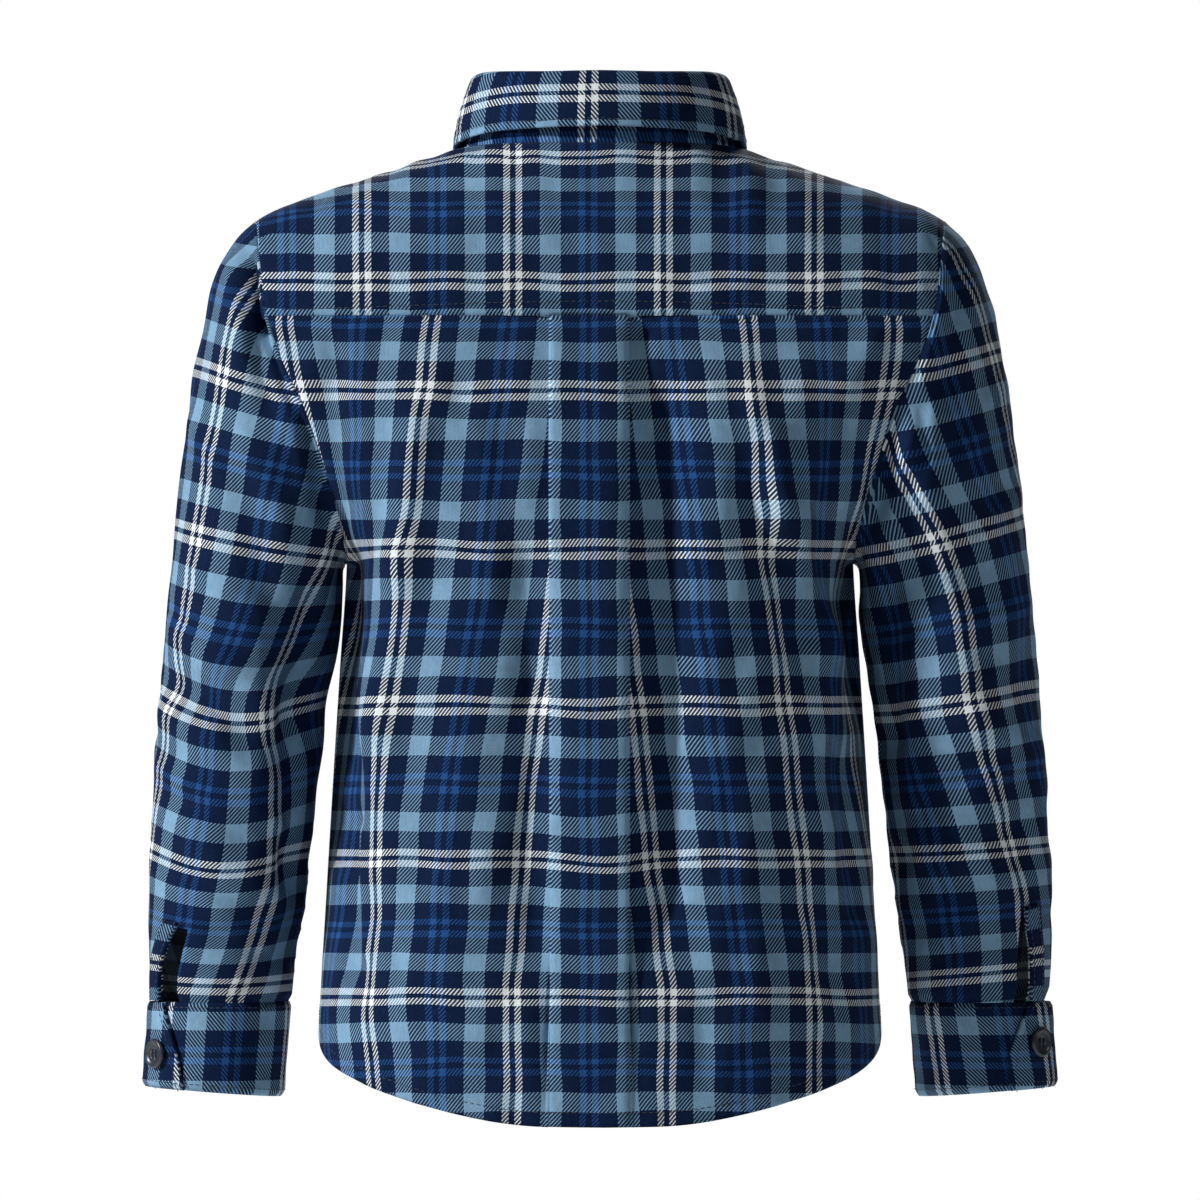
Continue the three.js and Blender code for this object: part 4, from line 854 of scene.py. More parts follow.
def sleeve_cloth(points, turn, side):
    """Cloth coordinates of sleeve points, read off the photo's stripes."""
    px, pz = seen(points[..., 0], points[..., 1], points[..., 2])
    z = points[..., 2]
    # A level oval at each height: its outside follows the outer rail
    outside = read(SLEEVE_OUTSIDE, "x", z)
    half_x = read(SLEEVE_OVAL, "half", z)
    deep = read(SLEEVE_OVAL, "deep", z)
    middle = outside - half_x
    behind = (points[..., 1] - read(SLEEVE_OVAL, "y", z)) / deep
    angle = np.degrees(np.arctan2(behind, (points[..., 0] - middle) / half_x))
    steps = np.radians(np.linspace(-180, 180, OVAL_STEPS + 1))
    rates = np.sqrt((half_x[..., None] * np.sin(steps)) ** 2 + (deep[..., None] * np.cos(steps)) ** 2)
    lengths = np.cumsum(rates, -1) * (steps[1] - steps[0])

    def arc_at(value):
        """Length round the oval at an angle."""
        at = np.clip((np.radians(value) - steps[0]) / (steps[1] - steps[0]), 0, OVAL_STEPS - 0.001)
        k = at.astype(int)[..., None]
        a = np.take_along_axis(lengths, k, -1)[..., 0]
        b = np.take_along_axis(lengths, k + 1, -1)[..., 0]
        return lerp(a, b, at - k[..., 0])

    # The underarm is where the cloth's two edges meet
    whole = lengths[..., -1]
    run = arc_at(angle)
    run = np.where(turn > 180, np.where(angle > 90, run - whole, run), np.where(angle < -90, run + whole, run))
    # One white pair lies at each of the two turns; between them the cloth is spread evenly, folds and all
    one, two = (arc_at(90 - read(SLEEVE_WARP[side], name, pz)) for name in ("turn", "next"))
    past_one, past_two = (run - one) * side, (run - two) * side
    repeat = 2 * SETT_HALF
    between = repeat * past_one / np.maximum((two - one) * side, 1)
    u = -SETT_HALF - np.where(past_one <= 0, past_one, np.where(past_two >= 0, repeat + past_two, between))
    across = np.cos(np.radians(turn))
    weft = SLEEVE_WEFT[side]
    level = [m + (o - i) / 2 * across + ((o + i) / 2 - m) * across * across
             for o, m, i in zip(weft["outer"], weft["middle"], weft["inner"])]
    v = np.full(pz.shape, weft["v"][0])
    for k in range(len(level) - 1):
        t = (pz - level[k]) / (level[k + 1] - level[k])
        v = np.where((t >= 0) & (t <= 1), lerp(weft["v"][k], weft["v"][k + 1], np.clip(t, 0, 1)), v)
        v = np.where(t > 1, weft["v"][k + 1], v)
    return u, v


def sleeve_grid(side):
    """Points, rings and cloth places of one sleeve, from its cuff to the armhole."""
    ring = (LAST_RING - np.linspace(0, LAST_RING, SLEEVE_ROWS))[:, None]
    column = np.arange(SLEEVE_COLUMNS + 1)[None, :]
    turn = sleeve_turn(ring, column, SLIT[side])
    ring = ring + 0 * turn
    points = sleeve_points(ring, turn, side)
    # The end of the sleeve is gathered into the cuff
    for k, (drop, draw) in enumerate(GATHERS):
        out = np.stack([np.cos(np.radians(turn[k])), np.sin(np.radians(turn[k])), 0 * turn[k]], -1)
        points[k] = points[k] - out * draw + np.array([0, 0, -drop])
    u, v = sleeve_cloth(points, turn, side)
    u = u + 0.5 * ripple(points[..., 0], points[..., 2], 61 + side, CHECK_WAVE)
    # The seam allowance at the armhole, turned in under the panels
    around = np.radians(turn[-1])
    tucked = points[-1] + np.stack([-2.0 + 0 * around, -1.3 * np.sin(around), -1.3 * np.cos(around)], -1)
    points = np.concatenate([points, tucked[None]], 0)
    ring, u = (np.concatenate([grid, grid[-1:]], 0) for grid in (ring, u))
    return points, ring, u, np.concatenate([v, v[-1:] + 2.4], 0)


def binding_grid(side):
    """Strip bound over the outer edge of the slit."""
    row = np.linspace(0, 1, 26)[:, None]
    ring = LAST_RING - row * (LAST_RING - SLIT_TOP_RING[side] + 0.1)
    edge = sleeve_turn(ring, SLIT_COLUMN - 1, SLIT[side])
    wide = np.degrees(BINDING_WIDE / read(SLEEVE, "depth", ring))
    across = np.linspace(0, 1, 6)[None, :]
    turn = edge + 1 - wide * across
    ring = ring + 0 * turn
    points = sleeve_points(ring, turn, side, ON_WALL)
    u = BINDING_WIDE * across + BINDING_CHECK["across"] + 0 * row
    return points, u, -row * BINDING_CHECK["long"] - BINDING_CHECK["down"] + 0 * across


# Cuffs

CUFF_COLUMNS = 240
CUFF_ROWS = 36


def cuff_points(part, turn, side, level):
    """Points of a cuff, part of the way down and at a turn from its under end."""
    edge_turn = read(CUFF_EDGE[side], "turn", part)
    passed = turn - edge_turn
    layer = CUFF["spread"] * (1 - 2 * smooth(passed, CUFF["overlap"] + 10, 330))
    level = level - CUFF["roll_hem"] * smooth(part, 0.93, 1.0) ** 2 - CUFF["roll_top"] * smooth(-part, -0.05, 0)
    half = lerp(CUFF["half_top"], CUFF["half_hem"], part) + layer + level
    depth = lerp(CUFF["deep_top"], CUFF["deep_hem"], part) + layer + level
    across = np.sin(np.radians(turn))
    drop = lerp(CUFF["inner"], CUFF["outer"], (across + 1) / 2)
    return np.stack([lerp(CUFF["x"], CUFF["x_hem"], part) + half * across,
                     lerp(CUFF["y"], CUFF["y_hem"], part) + depth * np.cos(np.radians(turn)),
                     CUFF["top"] - drop * part], -1)


def cuff_grid(side):
    """Points and cloth places of one cuff, with the lip that closes on the gathered sleeve."""
    along = np.linspace(1, 0, CUFF_COLUMNS)[None, :]
    part = np.linspace(1, 0, CUFF_ROWS)[:, None]
    edge_turn = read(CUFF_EDGE[side], "turn", part)
    turn = edge_turn + along * (360 + CUFF["overlap"])
    part = part + 0 * turn
    near = np.minimum(part, 1 - part)
    wave = 0.35 * ripple(turn * 0.5, part * 40, 70 + side) * smooth(near, 0, 0.3)
    wave = wave * smooth(np.minimum(along, 1 - along), 0, 0.04)
    points = cuff_points(part, turn, side, wave)
    lips = [cuff_points(part[-1:] + deep, turn[-1:], side, -inward) for inward, deep in CUFF_LIP]
    points = np.concatenate([points] + lips, 0)
    part, turn = (np.concatenate([grid] + [grid[-1:]] * len(CUFF_LIP), 0) for grid in (part, turn))
    check = CUFF_CHECK[side]
    u = (turn - 360 - check["turn"] + check["lean"] * (1 - part)) * math.radians(1) * CUFF_RADIUS
    v = (points[..., 2] - check["z"]) / CUFF_WEFT_SCALE
    v[-len(CUFF_LIP):] += np.array([[inward] for inward, _ in CUFF_LIP])
    return points, u * side, v


# Mesh making

def new_object(name, mesh):
    """An object in the scene, with smooth faces."""
    mesh.polygons.foreach_set("use_smooth", [True] * len(mesh.polygons))
    made = bpy.data.objects.new(name, mesh)
    bpy.context.scene.collection.objects.link(made)
    return made


def grid_mesh(name, points, u, v, keep=None):
    """A sheet of four-sided faces with its cloth coordinates, in metres, as the "cloth" UV map."""
    high, wide = points.shape[:2]
    index = np.arange(high * wide).reshape(high, wide)
    quads = np.stack([index[:-1, :-1], index[:-1, 1:], index[1:, 1:], index[1:, :-1]], -1)
    if keep is not None:
        quads = quads[keep]
    quads = quads.reshape(-1, 4)
    mesh = bpy.data.meshes.new(name)
    mesh.from_pydata((points.reshape(-1, 3) * MM).tolist(), [], quads.tolist())
    cloth = mesh.uv_layers.new(name="cloth")
    flat = np.stack([u.reshape(-1), v.reshape(-1)], -1) * MM
    cloth.data.foreach_set("uv", flat[quads.reshape(-1)].reshape(-1))
    mesh.update()
    return new_object(name, mesh)


def join_edges(piece):
    """Joins the two ends of a sheet that runs round."""
    work = bmesh.new()
    work.from_mesh(piece.data)
    bmesh.ops.remove_doubles(work, verts=work.verts, dist=0.00002)
    work.to_mesh(piece.data)
    work.free()


def cloth_piece(name, grid, check, thickness, node, keep=None, closed=False):
    """Makes a sheet with its thickness and materials in place of a solid, and ties it to the frame."""
    piece = grid_mesh(name, *grid, keep=keep)
    if closed:
        join_edges(piece)
    piece.data.materials.append(material(check))
    piece.data.materials.append(material(check + "_inside"))
    shell = piece.modifiers.new("Thickness", "SOLIDIFY")
    shell.thickness = thickness * MM
    shell.offset = 0
    shell.use_even_offset = False
    shell.material_offset = 1
    shell.material_offset_rim = 0
    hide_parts(node)
    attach(piece, "root")


# Materials

class Tree:
    """Adds nodes to a tree by short calls."""

    def __init__(self, tree):
        self.tree = tree

    def node(self, kind, **settings):
        made = self.tree.nodes.new(kind)
        for key, value in settings.items():
            setattr(made, key, value)
        return made

    def link(self, a, b):
        self.tree.links.new(a, b)

    def math(self, operation, a, b=None, clamp=False):
        made = self.node("ShaderNodeMath", operation=operation, use_clamp=clamp)
        for socket, value in zip(made.inputs, (a, b)):
            if value is None:
                continue
            if isinstance(value, (int, float)):
                socket.default_value = value
            else:
                self.link(value, socket)
        return made.outputs[0]

    def mix(self, factor, a, b, kind="MIX"):
        made = self.node("ShaderNodeMix", data_type="RGBA", blend_type=kind)
        for socket, value in ((made.inputs[0], factor), (made.inputs[6], a), (made.inputs[7], b)):
            if isinstance(value, (int, float)):
                socket.default_value = value
            elif isinstance(value, tuple):
                socket.default_value = value + (1.0,)
            else:
                self.link(value, socket)
        return made.outputs[2]

    def noise(self, vector, **inputs):
        """Noise over a vector, with the node's inputs by name."""
        made = self.node("ShaderNodeTexNoise")
        for key, value in inputs.items():
            made.inputs[key].default_value = value
        self.link(vector, made.inputs["Vector"])
        return made.outputs[0]

    def bump(self, shader, height, strength, distance):
        made = self.node("ShaderNodeBump")
        made.inputs["Strength"].default_value = strength
        made.inputs["Distance"].default_value = distance
        self.link(height, made.inputs["Height"])
        self.link(made.outputs[0], shader.inputs["Normal"])


def new_material(name):
    """A new material, its tree and its shader."""
    made = bpy.data.materials.new(name)
    made.use_nodes = True
    return made, Tree(made.node_tree), made.node_tree.nodes["Principled BSDF"]


# Softness of a dash's edge, in repeats of the twill
DASH_EDGE = 0.06
# How much each noise darkens or lightens the yarns
TONE = {"fuzz": 0.5, "patch": 0.4, "slub": 0.45}


def flannel(name, lean, settings, inner):
    """Brushed 2/2 twill check: each yarn takes its stripe's colour, and the twill says which yarn is on top."""
    made, t, shader = new_material(name)
    uv = t.node("ShaderNodeUVMap", uv_map="cloth")
    split = t.node("ShaderNodeSeparateXYZ")
    t.link(uv.outputs[0], split.inputs[0])

    def yarns(socket, pitch):
        """Place across its yarn, and its yarn's colour, for a cloth distance."""
        place_in = t.math("DIVIDE", socket, pitch)
        index = t.math("FLOOR", place_in)
        part = t.math("SUBTRACT", place_in, index)
        middle = t.math("MULTIPLY", t.math("ADD", index, 0.5), pitch)
        away = t.math("DIVIDE", t.math("PINGPONG", middle, SETT_HALF * MM), SETT_HALF * MM)
        ramp = t.node("ShaderNodeValToRGB")
        ramp.color_ramp.interpolation = "CONSTANT"
        elements = ramp.color_ramp.elements
        while len(elements) < len(SETT):
            elements.new(0.5)
        for element, (edge, _) in zip(elements, SETT):
            element.position = edge / SETT_HALF
        for element, (_, colour) in zip(elements, SETT):
            element.color = tuple(getattr(settings, colour)) + (1.0,)
        t.link(away, ramp.inputs[0])
        return part, ramp.outputs[0]

    warp_part, warp = yarns(split.outputs[0], settings.yarn_pitch)
    weft_part, weft = yarns(split.outputs[1], settings.weft_pitch)
    # The twill's diagonal: the warp shows round a quarter of each repeat and the weft round three quarters
    along = t.math("ADD", t.math("DIVIDE", split.outputs[0], settings.yarn_pitch),
                   t.math("MULTIPLY", t.math("DIVIDE", split.outputs[1], settings.weft_pitch), lean))
    repeat = t.math("DIVIDE", t.math("FLOORED_MODULO", along, 4.0), 4.0)
    on_top = t.math("LESS_THAN", repeat, 0.5)
    # Painted shade at the yarns' edges: pale dashes are drawn narrower than half the repeat, so the dark yarns cover
    # more where they cross
    dashes = t.mix(1.0, weft, warp, "DARKEN")
    half_dash = 0.25 - 0.25 * settings.yarn_edge_shade + DASH_EDGE / 2
    for middle, yarn in ((0.25, warp), (0.75, weft)):
        away = t.math("ABSOLUTE", t.math("SUBTRACT", repeat, middle))
        shows = t.math("DIVIDE", t.math("SUBTRACT", half_dash, away), DASH_EDGE, clamp=True)
        dashes = t.mix(shows, dashes, yarn)
    cloth = t.mix(settings.nap, dashes, t.mix(0.5, weft, warp))

    where = t.node("ShaderNodeTexCoord").outputs["Object"]
    fuzz = t.noise(where, Scale=2600.0, Detail=3.0)
    patch = t.noise(where, Scale=160.0, Detail=4.0)
    stretch = t.node("ShaderNodeMapping")
    stretch.inputs["Scale"].default_value = (1800.0, 160.0, 1.0)
    t.link(uv.outputs[0], stretch.inputs["Vector"])
    slub = t.noise(stretch.outputs[0], Scale=1.0, Detail=2.0)
    tone = t.math("ADD", t.math("MULTIPLY", fuzz, TONE["fuzz"]), t.math("MULTIPLY", patch, TONE["patch"]))
    tone = t.math("ADD", tone, t.math("MULTIPLY", slub, TONE["slub"]))
    tone = t.math("ADD", tone, 1.0 - sum(TONE.values()) / 2)
    bright = t.mix(1.0, cloth, tone, "MULTIPLY")
    hairs = t.math("MULTIPLY", t.math("SUBTRACT", fuzz, 0.54), 0.22, clamp=True)
    bright = t.mix(hairs, bright, tuple(settings.fuzz))
    if inner:
        bright = t.mix(0.45, bright, tuple(settings.inside))
    t.link(bright, shader.inputs["Base Color"])
    shader.inputs["Roughness"].default_value = 0.92
    shader.inputs["Specular IOR Level"].default_value = 0.1
    shader.inputs["Sheen Weight"].default_value = settings.sheen
    shader.inputs["Sheen Roughness"].default_value = 0.45
    shader.inputs["Sheen Tint"].default_value = (0.75, 0.83, 1.0, 1.0)

    over = t.math("SINE", t.math("MULTIPLY", warp_part, math.pi))
    under = t.math("SINE", t.math("MULTIPLY", weft_part, math.pi))
    height = t.math("ADD", t.math("MULTIPLY", over, on_top),
                    t.math("MULTIPLY", under, t.math("SUBTRACT", 1.0, on_top)))
    t.bump(shader, t.math("ADD", height, t.math("MULTIPLY", patch, 1.6)), 0.45, 0.00016)
    return made


def thread_material(name, colour):
    """Sewing thread: a fine twist with a little gloss."""
    made, t, shader = new_material(name)
    wave = t.node("ShaderNodeTexWave", bands_direction="DIAGONAL")
    wave.inputs["Scale"].default_value = 1500.0
    t.link(t.node("ShaderNodeTexCoord").outputs["Object"], wave.inputs["Vector"])
    t.link(t.mix(wave.outputs[1], tuple(c * 0.75 for c in colour), colour), shader.inputs["Base Color"])
    shader.inputs["Roughness"].default_value = 0.6
    shader.inputs["Sheen Weight"].default_value = 0.2
    t.bump(shader, wave.outputs[1], 0.3, 0.0001)
    return made


def button_material(name, colour):
    """Satin cast resin with a faint cloudiness."""
    made, t, shader = new_material(name)
    cloud = t.noise(t.node("ShaderNodeTexCoord").outputs["Object"], Scale=420.0, Detail=5.0, Distortion=1.2)
    tint = t.mix(cloud, tuple(c * 0.7 for c in colour), tuple(min(c * 1.5, 1) for c in colour))
    t.link(tint, shader.inputs["Base Color"])
    rough = t.math("ADD", t.math("MULTIPLY", cloud, 0.2), 0.25)
    t.link(rough, shader.inputs["Roughness"])
    return made


def floor_material(name):
    """Pale matt paper with a faint grain."""
    made, t, shader = new_material(name)
    grain = t.noise(t.node("ShaderNodeTexCoord").outputs["Object"], Scale=30.0)
    t.link(t.mix(grain, (0.80, 0.80, 0.80), (0.84, 0.84, 0.84)), shader.inputs["Base Color"])
    shader.inputs["Roughness"].default_value = 0.9
    return made


# Cloth cut along the warp and cloth cut across it, by which way the twill leans
CHECK_LEAN = {"long_check": 1.0, "cross_check": -1.0}


def material(name):
    """A finished material by name, made once from the panel's values."""
    made = bpy.data.materials.get(name)
    if made:
        return made
    settings = bpy.context.scene.shirt_cloth
    check = name.removesuffix("_inside")
    if check in CHECK_LEAN:
        return flannel(name, CHECK_LEAN[check], settings, inner=name != check)
    if name == "navy_thread":
        return thread_material(name, tuple(settings.thread))
    if name == "button_resin":
        return button_material(name, tuple(bpy.context.scene.shirt_button.colour))
    raise ValueError(f"no material is called {name}")


# Stitches, as Geometry Nodes along a line

def stitch_tree():
    """Rounded stitches at an even pitch along a line of edges."""
    tree = bpy.data.node_groups.get("Stitch Row")
    if tree:
        return tree
    tree = bpy.data.node_groups.new("Stitch Row", "GeometryNodeTree")
    face = tree.interface
    face.new_socket("Geometry", in_out="INPUT", socket_type="NodeSocketGeometry")
    for label, value in (("Pitch", 0.0026), ("Length", 0.0019), ("Thickness", 0.0003)):
        socket = face.new_socket(label, in_out="INPUT", socket_type="NodeSocketFloat")
        socket.default_value = value
    face.new_socket("Thread", in_out="INPUT", socket_type="NodeSocketMaterial")
    face.new_socket("Geometry", in_out="OUTPUT", socket_type="NodeSocketGeometry")
    t = Tree(tree)
    start = t.node("NodeGroupInput")
    end = t.node("NodeGroupOutput")
    curve = t.node("GeometryNodeMeshToCurve")
    sample = t.node("GeometryNodeResampleCurve", mode="LENGTH")
    t.link(start.outputs["Geometry"], curve.inputs[0])
    t.link(curve.outputs[0], sample.inputs["Curve"])
    t.link(start.outputs["Pitch"], sample.inputs["Length"])
    ball = t.node("GeometryNodeMeshUVSphere")
    ball.inputs["Segments"].default_value = 6
    ball.inputs["Rings"].default_value = 4
    ball.inputs["Radius"].default_value = 0.5
    size = t.node("ShaderNodeCombineXYZ")
    t.link(start.outputs["Thickness"], size.inputs[0])
    t.link(start.outputs["Thickness"], size.inputs[1])
    t.link(start.outputs["Length"], size.inputs[2])
    shape = t.node("GeometryNodeTransform")
    t.link(ball.outputs["Mesh"], shape.inputs["Geometry"])
    t.link(size.outputs[0], shape.inputs["Scale"])
    tangent = t.node("GeometryNodeInputTangent")
    turn = t.node("FunctionNodeAlignEulerToVector", axis="Z")
    t.link(tangent.outputs[0], turn.inputs["Vector"])
    spread = t.node("GeometryNodeInstanceOnPoints")
    t.link(sample.outputs[0], spread.inputs["Points"])
    t.link(shape.outputs[0], spread.inputs["Instance"])
    t.link(turn.outputs[0], spread.inputs["Rotation"])
    real = t.node("GeometryNodeRealizeInstances")
    t.link(spread.outputs[0], real.inputs[0])
    paint = t.node("GeometryNodeSetMaterial")
    t.link(real.outputs[0], paint.inputs["Geometry"])
    t.link(start.outputs["Thread"], paint.inputs["Material"])
    t.link(paint.outputs[0], end.inputs[0])
    return tree


def stitch_piece(name, lines, pitch=None, length=None, thick=None):
    """One piece of stitches along several lines of points, in millimetres."""
    sizes = bpy.context.scene.shirt_stitch
    points, edges = [], []
    for line in lines:
        first = len(points)
        points += [tuple(float(c) * MM for c in p) for p in line]
        edges += [(first + k, first + k + 1) for k in range(len(line) - 1)]
    mesh = bpy.data.meshes.new(name + "_line")
    mesh.from_pydata(points, edges, [])
    carrier = bpy.data.objects.new(name + "_line", mesh)
    bpy.context.scene.collection.objects.link(carrier)
    tree = stitch_tree()
    modifier = carrier.modifiers.new("Stitches", "NODES")
    modifier.node_group = tree
    values = {
        "Pitch": pitch or sizes.pitch,
        "Length": length or sizes.length,
        "Thickness": thick or sizes.thickness,
        "Thread": material("navy_thread"),
    }
    for item in tree.interface.items_tree:
        if item.item_type == "SOCKET" and item.in_out == "INPUT" and item.name in values:
            modifier[item.identifier] = values[item.name]
    graph = bpy.context.evaluated_depsgraph_get()
    made = bpy.data.meshes.new_from_object(carrier.evaluated_get(graph), depsgraph=graph)
    made.name = name
    bpy.data.objects.remove(carrier)
    bpy.data.meshes.remove(mesh)
    if not made.polygons:
        raise RuntimeError(f"{name}: the stitches came out empty")
    if not made.materials:
        made.materials.append(material("navy_thread"))
    piece = new_object(name, made)
    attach(piece, "root")


def inset(points, normal, distance, level):
    """A line at a distance from a grid's first row, measured on the cloth and raised from it."""
    run = arc(points, 0)
    raised = points + normal * level
    return np.array([[np.interp(distance, run[:, j], raised[:, j, c]) for c in range(3)]
                     for j in range(points.shape[1])])


def near_edge(points, distance, level, end="low"):
    """A line beside a grid's first row, or beside its last for the high end."""
    step = 1 if end == "low" else -1
    return inset(points[::step], grid_normals(points)[::step], distance, level)


def near_sides(points, distance, level):
    """Two lines, beside a grid's first and last columns."""
    turned, normal = np.swapaxes(points, 0, 1), np.swapaxes(grid_normals(points), 0, 1)
    return [inset(turned[::step], normal[::step], distance, level) for step in (1, -1)]


# Buttons

BUTTON = {"face": 1.25, "back": 0.12, "plate": 3.1, "sides": 48}
BUTTON_HOLE = {"out": 1.65, "radius": 0.82, "sides": 14}
BUTTON_RIM = ((5.7, 0.12), (6.1, 0.35), (6.3, 0.85), (6.25, 1.35), (5.95, 1.8), (5.5, 1.98), (5.0, 1.95),
              (4.6, 1.75), (4.2, 1.45), (3.7, 1.3))
# Upright lines that the buttons face away from, in metres
FRONT_MIDDLE = (0.0, -0.004)
CUFF_MIDDLE = (0.1603, -0.0092)


def button_mesh(name):
    """A four-hole button facing +Z, its back at z 0: a dished face with holes inside a rounded rim."""
    work = bmesh.new()
    face, back = BUTTON["face"], BUTTON["back"]

    def loop(x, y, radius, z, count):
        turns = [k * math.tau / count for k in range(count)]
        return [work.verts.new((x + radius * math.cos(turn), y + radius * math.sin(turn), z)) for turn in turns]

    def wall(a, b):
        for k in range(len(a)):
            j = (k + 1) % len(a)
            work.faces.new((a[k], a[j], b[j], b[k]))

    def edges_of(ring):
        return [work.edges.get((ring[k], ring[(k + 1) % len(ring)])) for k in range(len(ring))]

    profile = ((BUTTON["plate"], back),) + BUTTON_RIM + ((BUTTON["plate"], face),)
    rings = [loop(0, 0, radius, z, BUTTON["sides"]) for radius, z in profile]
    for a, b in zip(rings[:-1], rings[1:]):
        wall(a, b)
    holes = []
    for k in range(4):
        turn = math.pi / 4 + k * math.pi / 2
        x, y = BUTTON_HOLE["out"] * math.cos(turn), BUTTON_HOLE["out"] * math.sin(turn)
        holes.append([loop(x, y, BUTTON_HOLE["radius"], z, BUTTON_HOLE["sides"]) for z in (face, back)])
    for top, bottom in holes:
        wall(top, bottom)
    for ring, index in ((rings[-1], 0), (rings[0], 1)):
        edges = edges_of(ring)
        for hole in holes:
            edges += edges_of(hole[index])
        bmesh.ops.triangle_fill(work, use_beauty=True, use_dissolve=False, edges=edges)
    bmesh.ops.recalc_face_normals(work, faces=work.faces)
    mesh = bpy.data.meshes.new(name)
    work.to_mesh(mesh)
    work.free()
    return mesh


def node_frame(node):
    """Middle of a button solid, and the way that it faces, from its own mesh."""
    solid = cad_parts[node]
    corners = np.array([tuple(v.co) for v in solid.data.vertices])
    middle = corners.mean(0)
    _, _, axes = np.linalg.svd(corners - middle, full_matrices=False)
    facing = axes[2]
    away = middle - np.array([*FRONT_MIDDLE, middle[2]])
    if node.startswith("button_cuff"):
        side = 1 if middle[0] > 0 else -1
        away = middle - np.array([side * CUFF_MIDDLE[0], CUFF_MIDDLE[1], middle[2]])
    if np.dot(facing, away) < 0:
        facing = -facing
    span = (corners - middle) @ facing
    return Vector(middle + facing * span.min()), Vector(facing)


# Thread through a button: two strands over each pair of holes, bowed up from the face
THREAD = {"x": 1.17, "apart": 0.28, "reach": 1.15, "rise": 0.32, "span": 1.3}


def make_button(node):
    """One button on its solid's seat, and the thread through it."""
    seat, facing = node_frame(node)
    mesh = button_mesh("resin_" + node)
    turn = facing.to_track_quat("Z", "Y").to_matrix()
    for vertex in mesh.vertices:
        vertex.co = seat + turn @ (vertex.co * MM)
    mesh.materials.append(material("button_resin"))
    piece = new_object("resin_" + node, mesh)
    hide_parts(node)
    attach(piece, "root")
    lines = []
    for x in (-THREAD["x"], THREAD["x"]):
        for dx in (-THREAD["apart"], THREAD["apart"]):
            line = []
            for y in np.linspace(-THREAD["reach"], THREAD["reach"], 7):
                z = BUTTON["face"] + THREAD["rise"] * (1 - (y / THREAD["span"]) ** 2)
                line.append((seat + turn @ (Vector((x + dx, y, z)) * MM)) / MM)
            lines.append(line)
    stitch_piece("thread_" + node, lines, pitch=0.0005, length=0.0009, thick=0.00042)


# Panel values

def colour_value(name, description, default):
    return bpy.props.FloatVectorProperty(
        name=name, description=description, subtype="COLOR", size=3, min=0, max=1, default=default)


def length_value(name, description, default, **limits):
    return bpy.props.FloatProperty(
        name=name, description=description, subtype="DISTANCE", unit="LENGTH", default=default, **limits)


def factor_value(name, description, default):
    return bpy.props.FloatProperty(
        name=name, description=description, subtype="FACTOR", default=default, min=0, max=1)


class ShirtClothValues(bpy.types.PropertyGroup):
    navy: colour_value("Navy", "Ground yarn", (0.0014, 0.0092, 0.0385))
    royal: colour_value("Royal blue", "Narrow blue stripes", (0.014, 0.066, 0.22))
    light: colour_value("Light blue", "Wide pale stripes", (0.18, 0.318, 0.46))
    white: colour_value("Off-white", "White pinstripes", (0.72, 0.77, 0.79))
    inside: colour_value("Inside", "Grey of the unbrushed inner face", (0.12, 0.135, 0.15))
    fuzz: colour_value("Fuzz", "Loose pale fibres of the nap", (0.17, 0.24, 0.34))
    thread: colour_value("Thread", "Navy sewing thread", (0.012, 0.022, 0.05))
    yarn_pitch: length_value("Warp pitch", "Distance from warp yarn to warp yarn", 0.0004, min=0.0001)
    weft_pitch: length_value("Weft pitch", "Distance from weft yarn to weft yarn", 0.0005, min=0.0001)
    nap: factor_value("Nap", "How far brushing has blurred the yarns", 0.06)
    # Painted shade at the yarns' edges: how far the dark yarns are drawn over the pale ones where they cross
    yarn_edge_shade: factor_value("Yarn edge shade", "How far dark yarns cover pale ones that they cross", 0.30)
    sheen: factor_value("Sheen", "Soft light at grazing angles", 0.02)


class ShirtStitchValues(bpy.types.PropertyGroup):
    pitch: length_value("Pitch", "Distance from stitch to stitch", 0.0027)
    length: length_value("Length", "Length of one stitch", 0.0020)
    thickness: length_value("Thickness", "Thickness of the thread", 0.00034)


class ShirtButtonValues(bpy.types.PropertyGroup):
    colour: colour_value("Colour", "Dark slate resin", (0.02, 0.026, 0.036))


class ShirtStageValues(bpy.types.PropertyGroup):
    floor_drop: length_value("Floor height", "Height of the floor", -0.75)
    key_power: bpy.props.FloatProperty(
        name="Key light", description="Power of the main light", default=252.0, min=0)
    fill: bpy.props.FloatProperty(
        name="Fill", description="Strength of the light from all round", default=0.02, min=0)


class BackOperator(bpy.types.Operator):
    """Back panel with its box pleat and folds."""
    bl_idname = "shirt.back"
    bl_label = "Back Panel"

    def execute(self, context):
        grid = back_grid()
        cloth_piece("back_cloth", grid, "long_check", THIN, "back_panel")
        stitch_piece("back_hem_stitches", [near_edge(grid[0], 6.0, ON_THIN)])
        return {"FINISHED"}


class YokeOperator(bpy.types.Operator):
    """Yoke over both shoulders."""
    bl_idname = "shirt.yoke"
    bl_label = "Yoke"

    def execute(self, context):
        grid = yoke_grid()
        cloth_piece("yoke_cloth", grid, "long_check", THIN, "yoke")
        points = grid[0][len(YOKE_LIP):]
        back_line = near_edge(points, 5.5, ON_THIN)[YOKE_ARM_COLUMNS + 1:-YOKE_ARM_COLUMNS - 1]
        stitch_piece("yoke_stitches", [back_line] + near_sides(points, 2.0, ON_THIN))
        return {"FINISHED"}


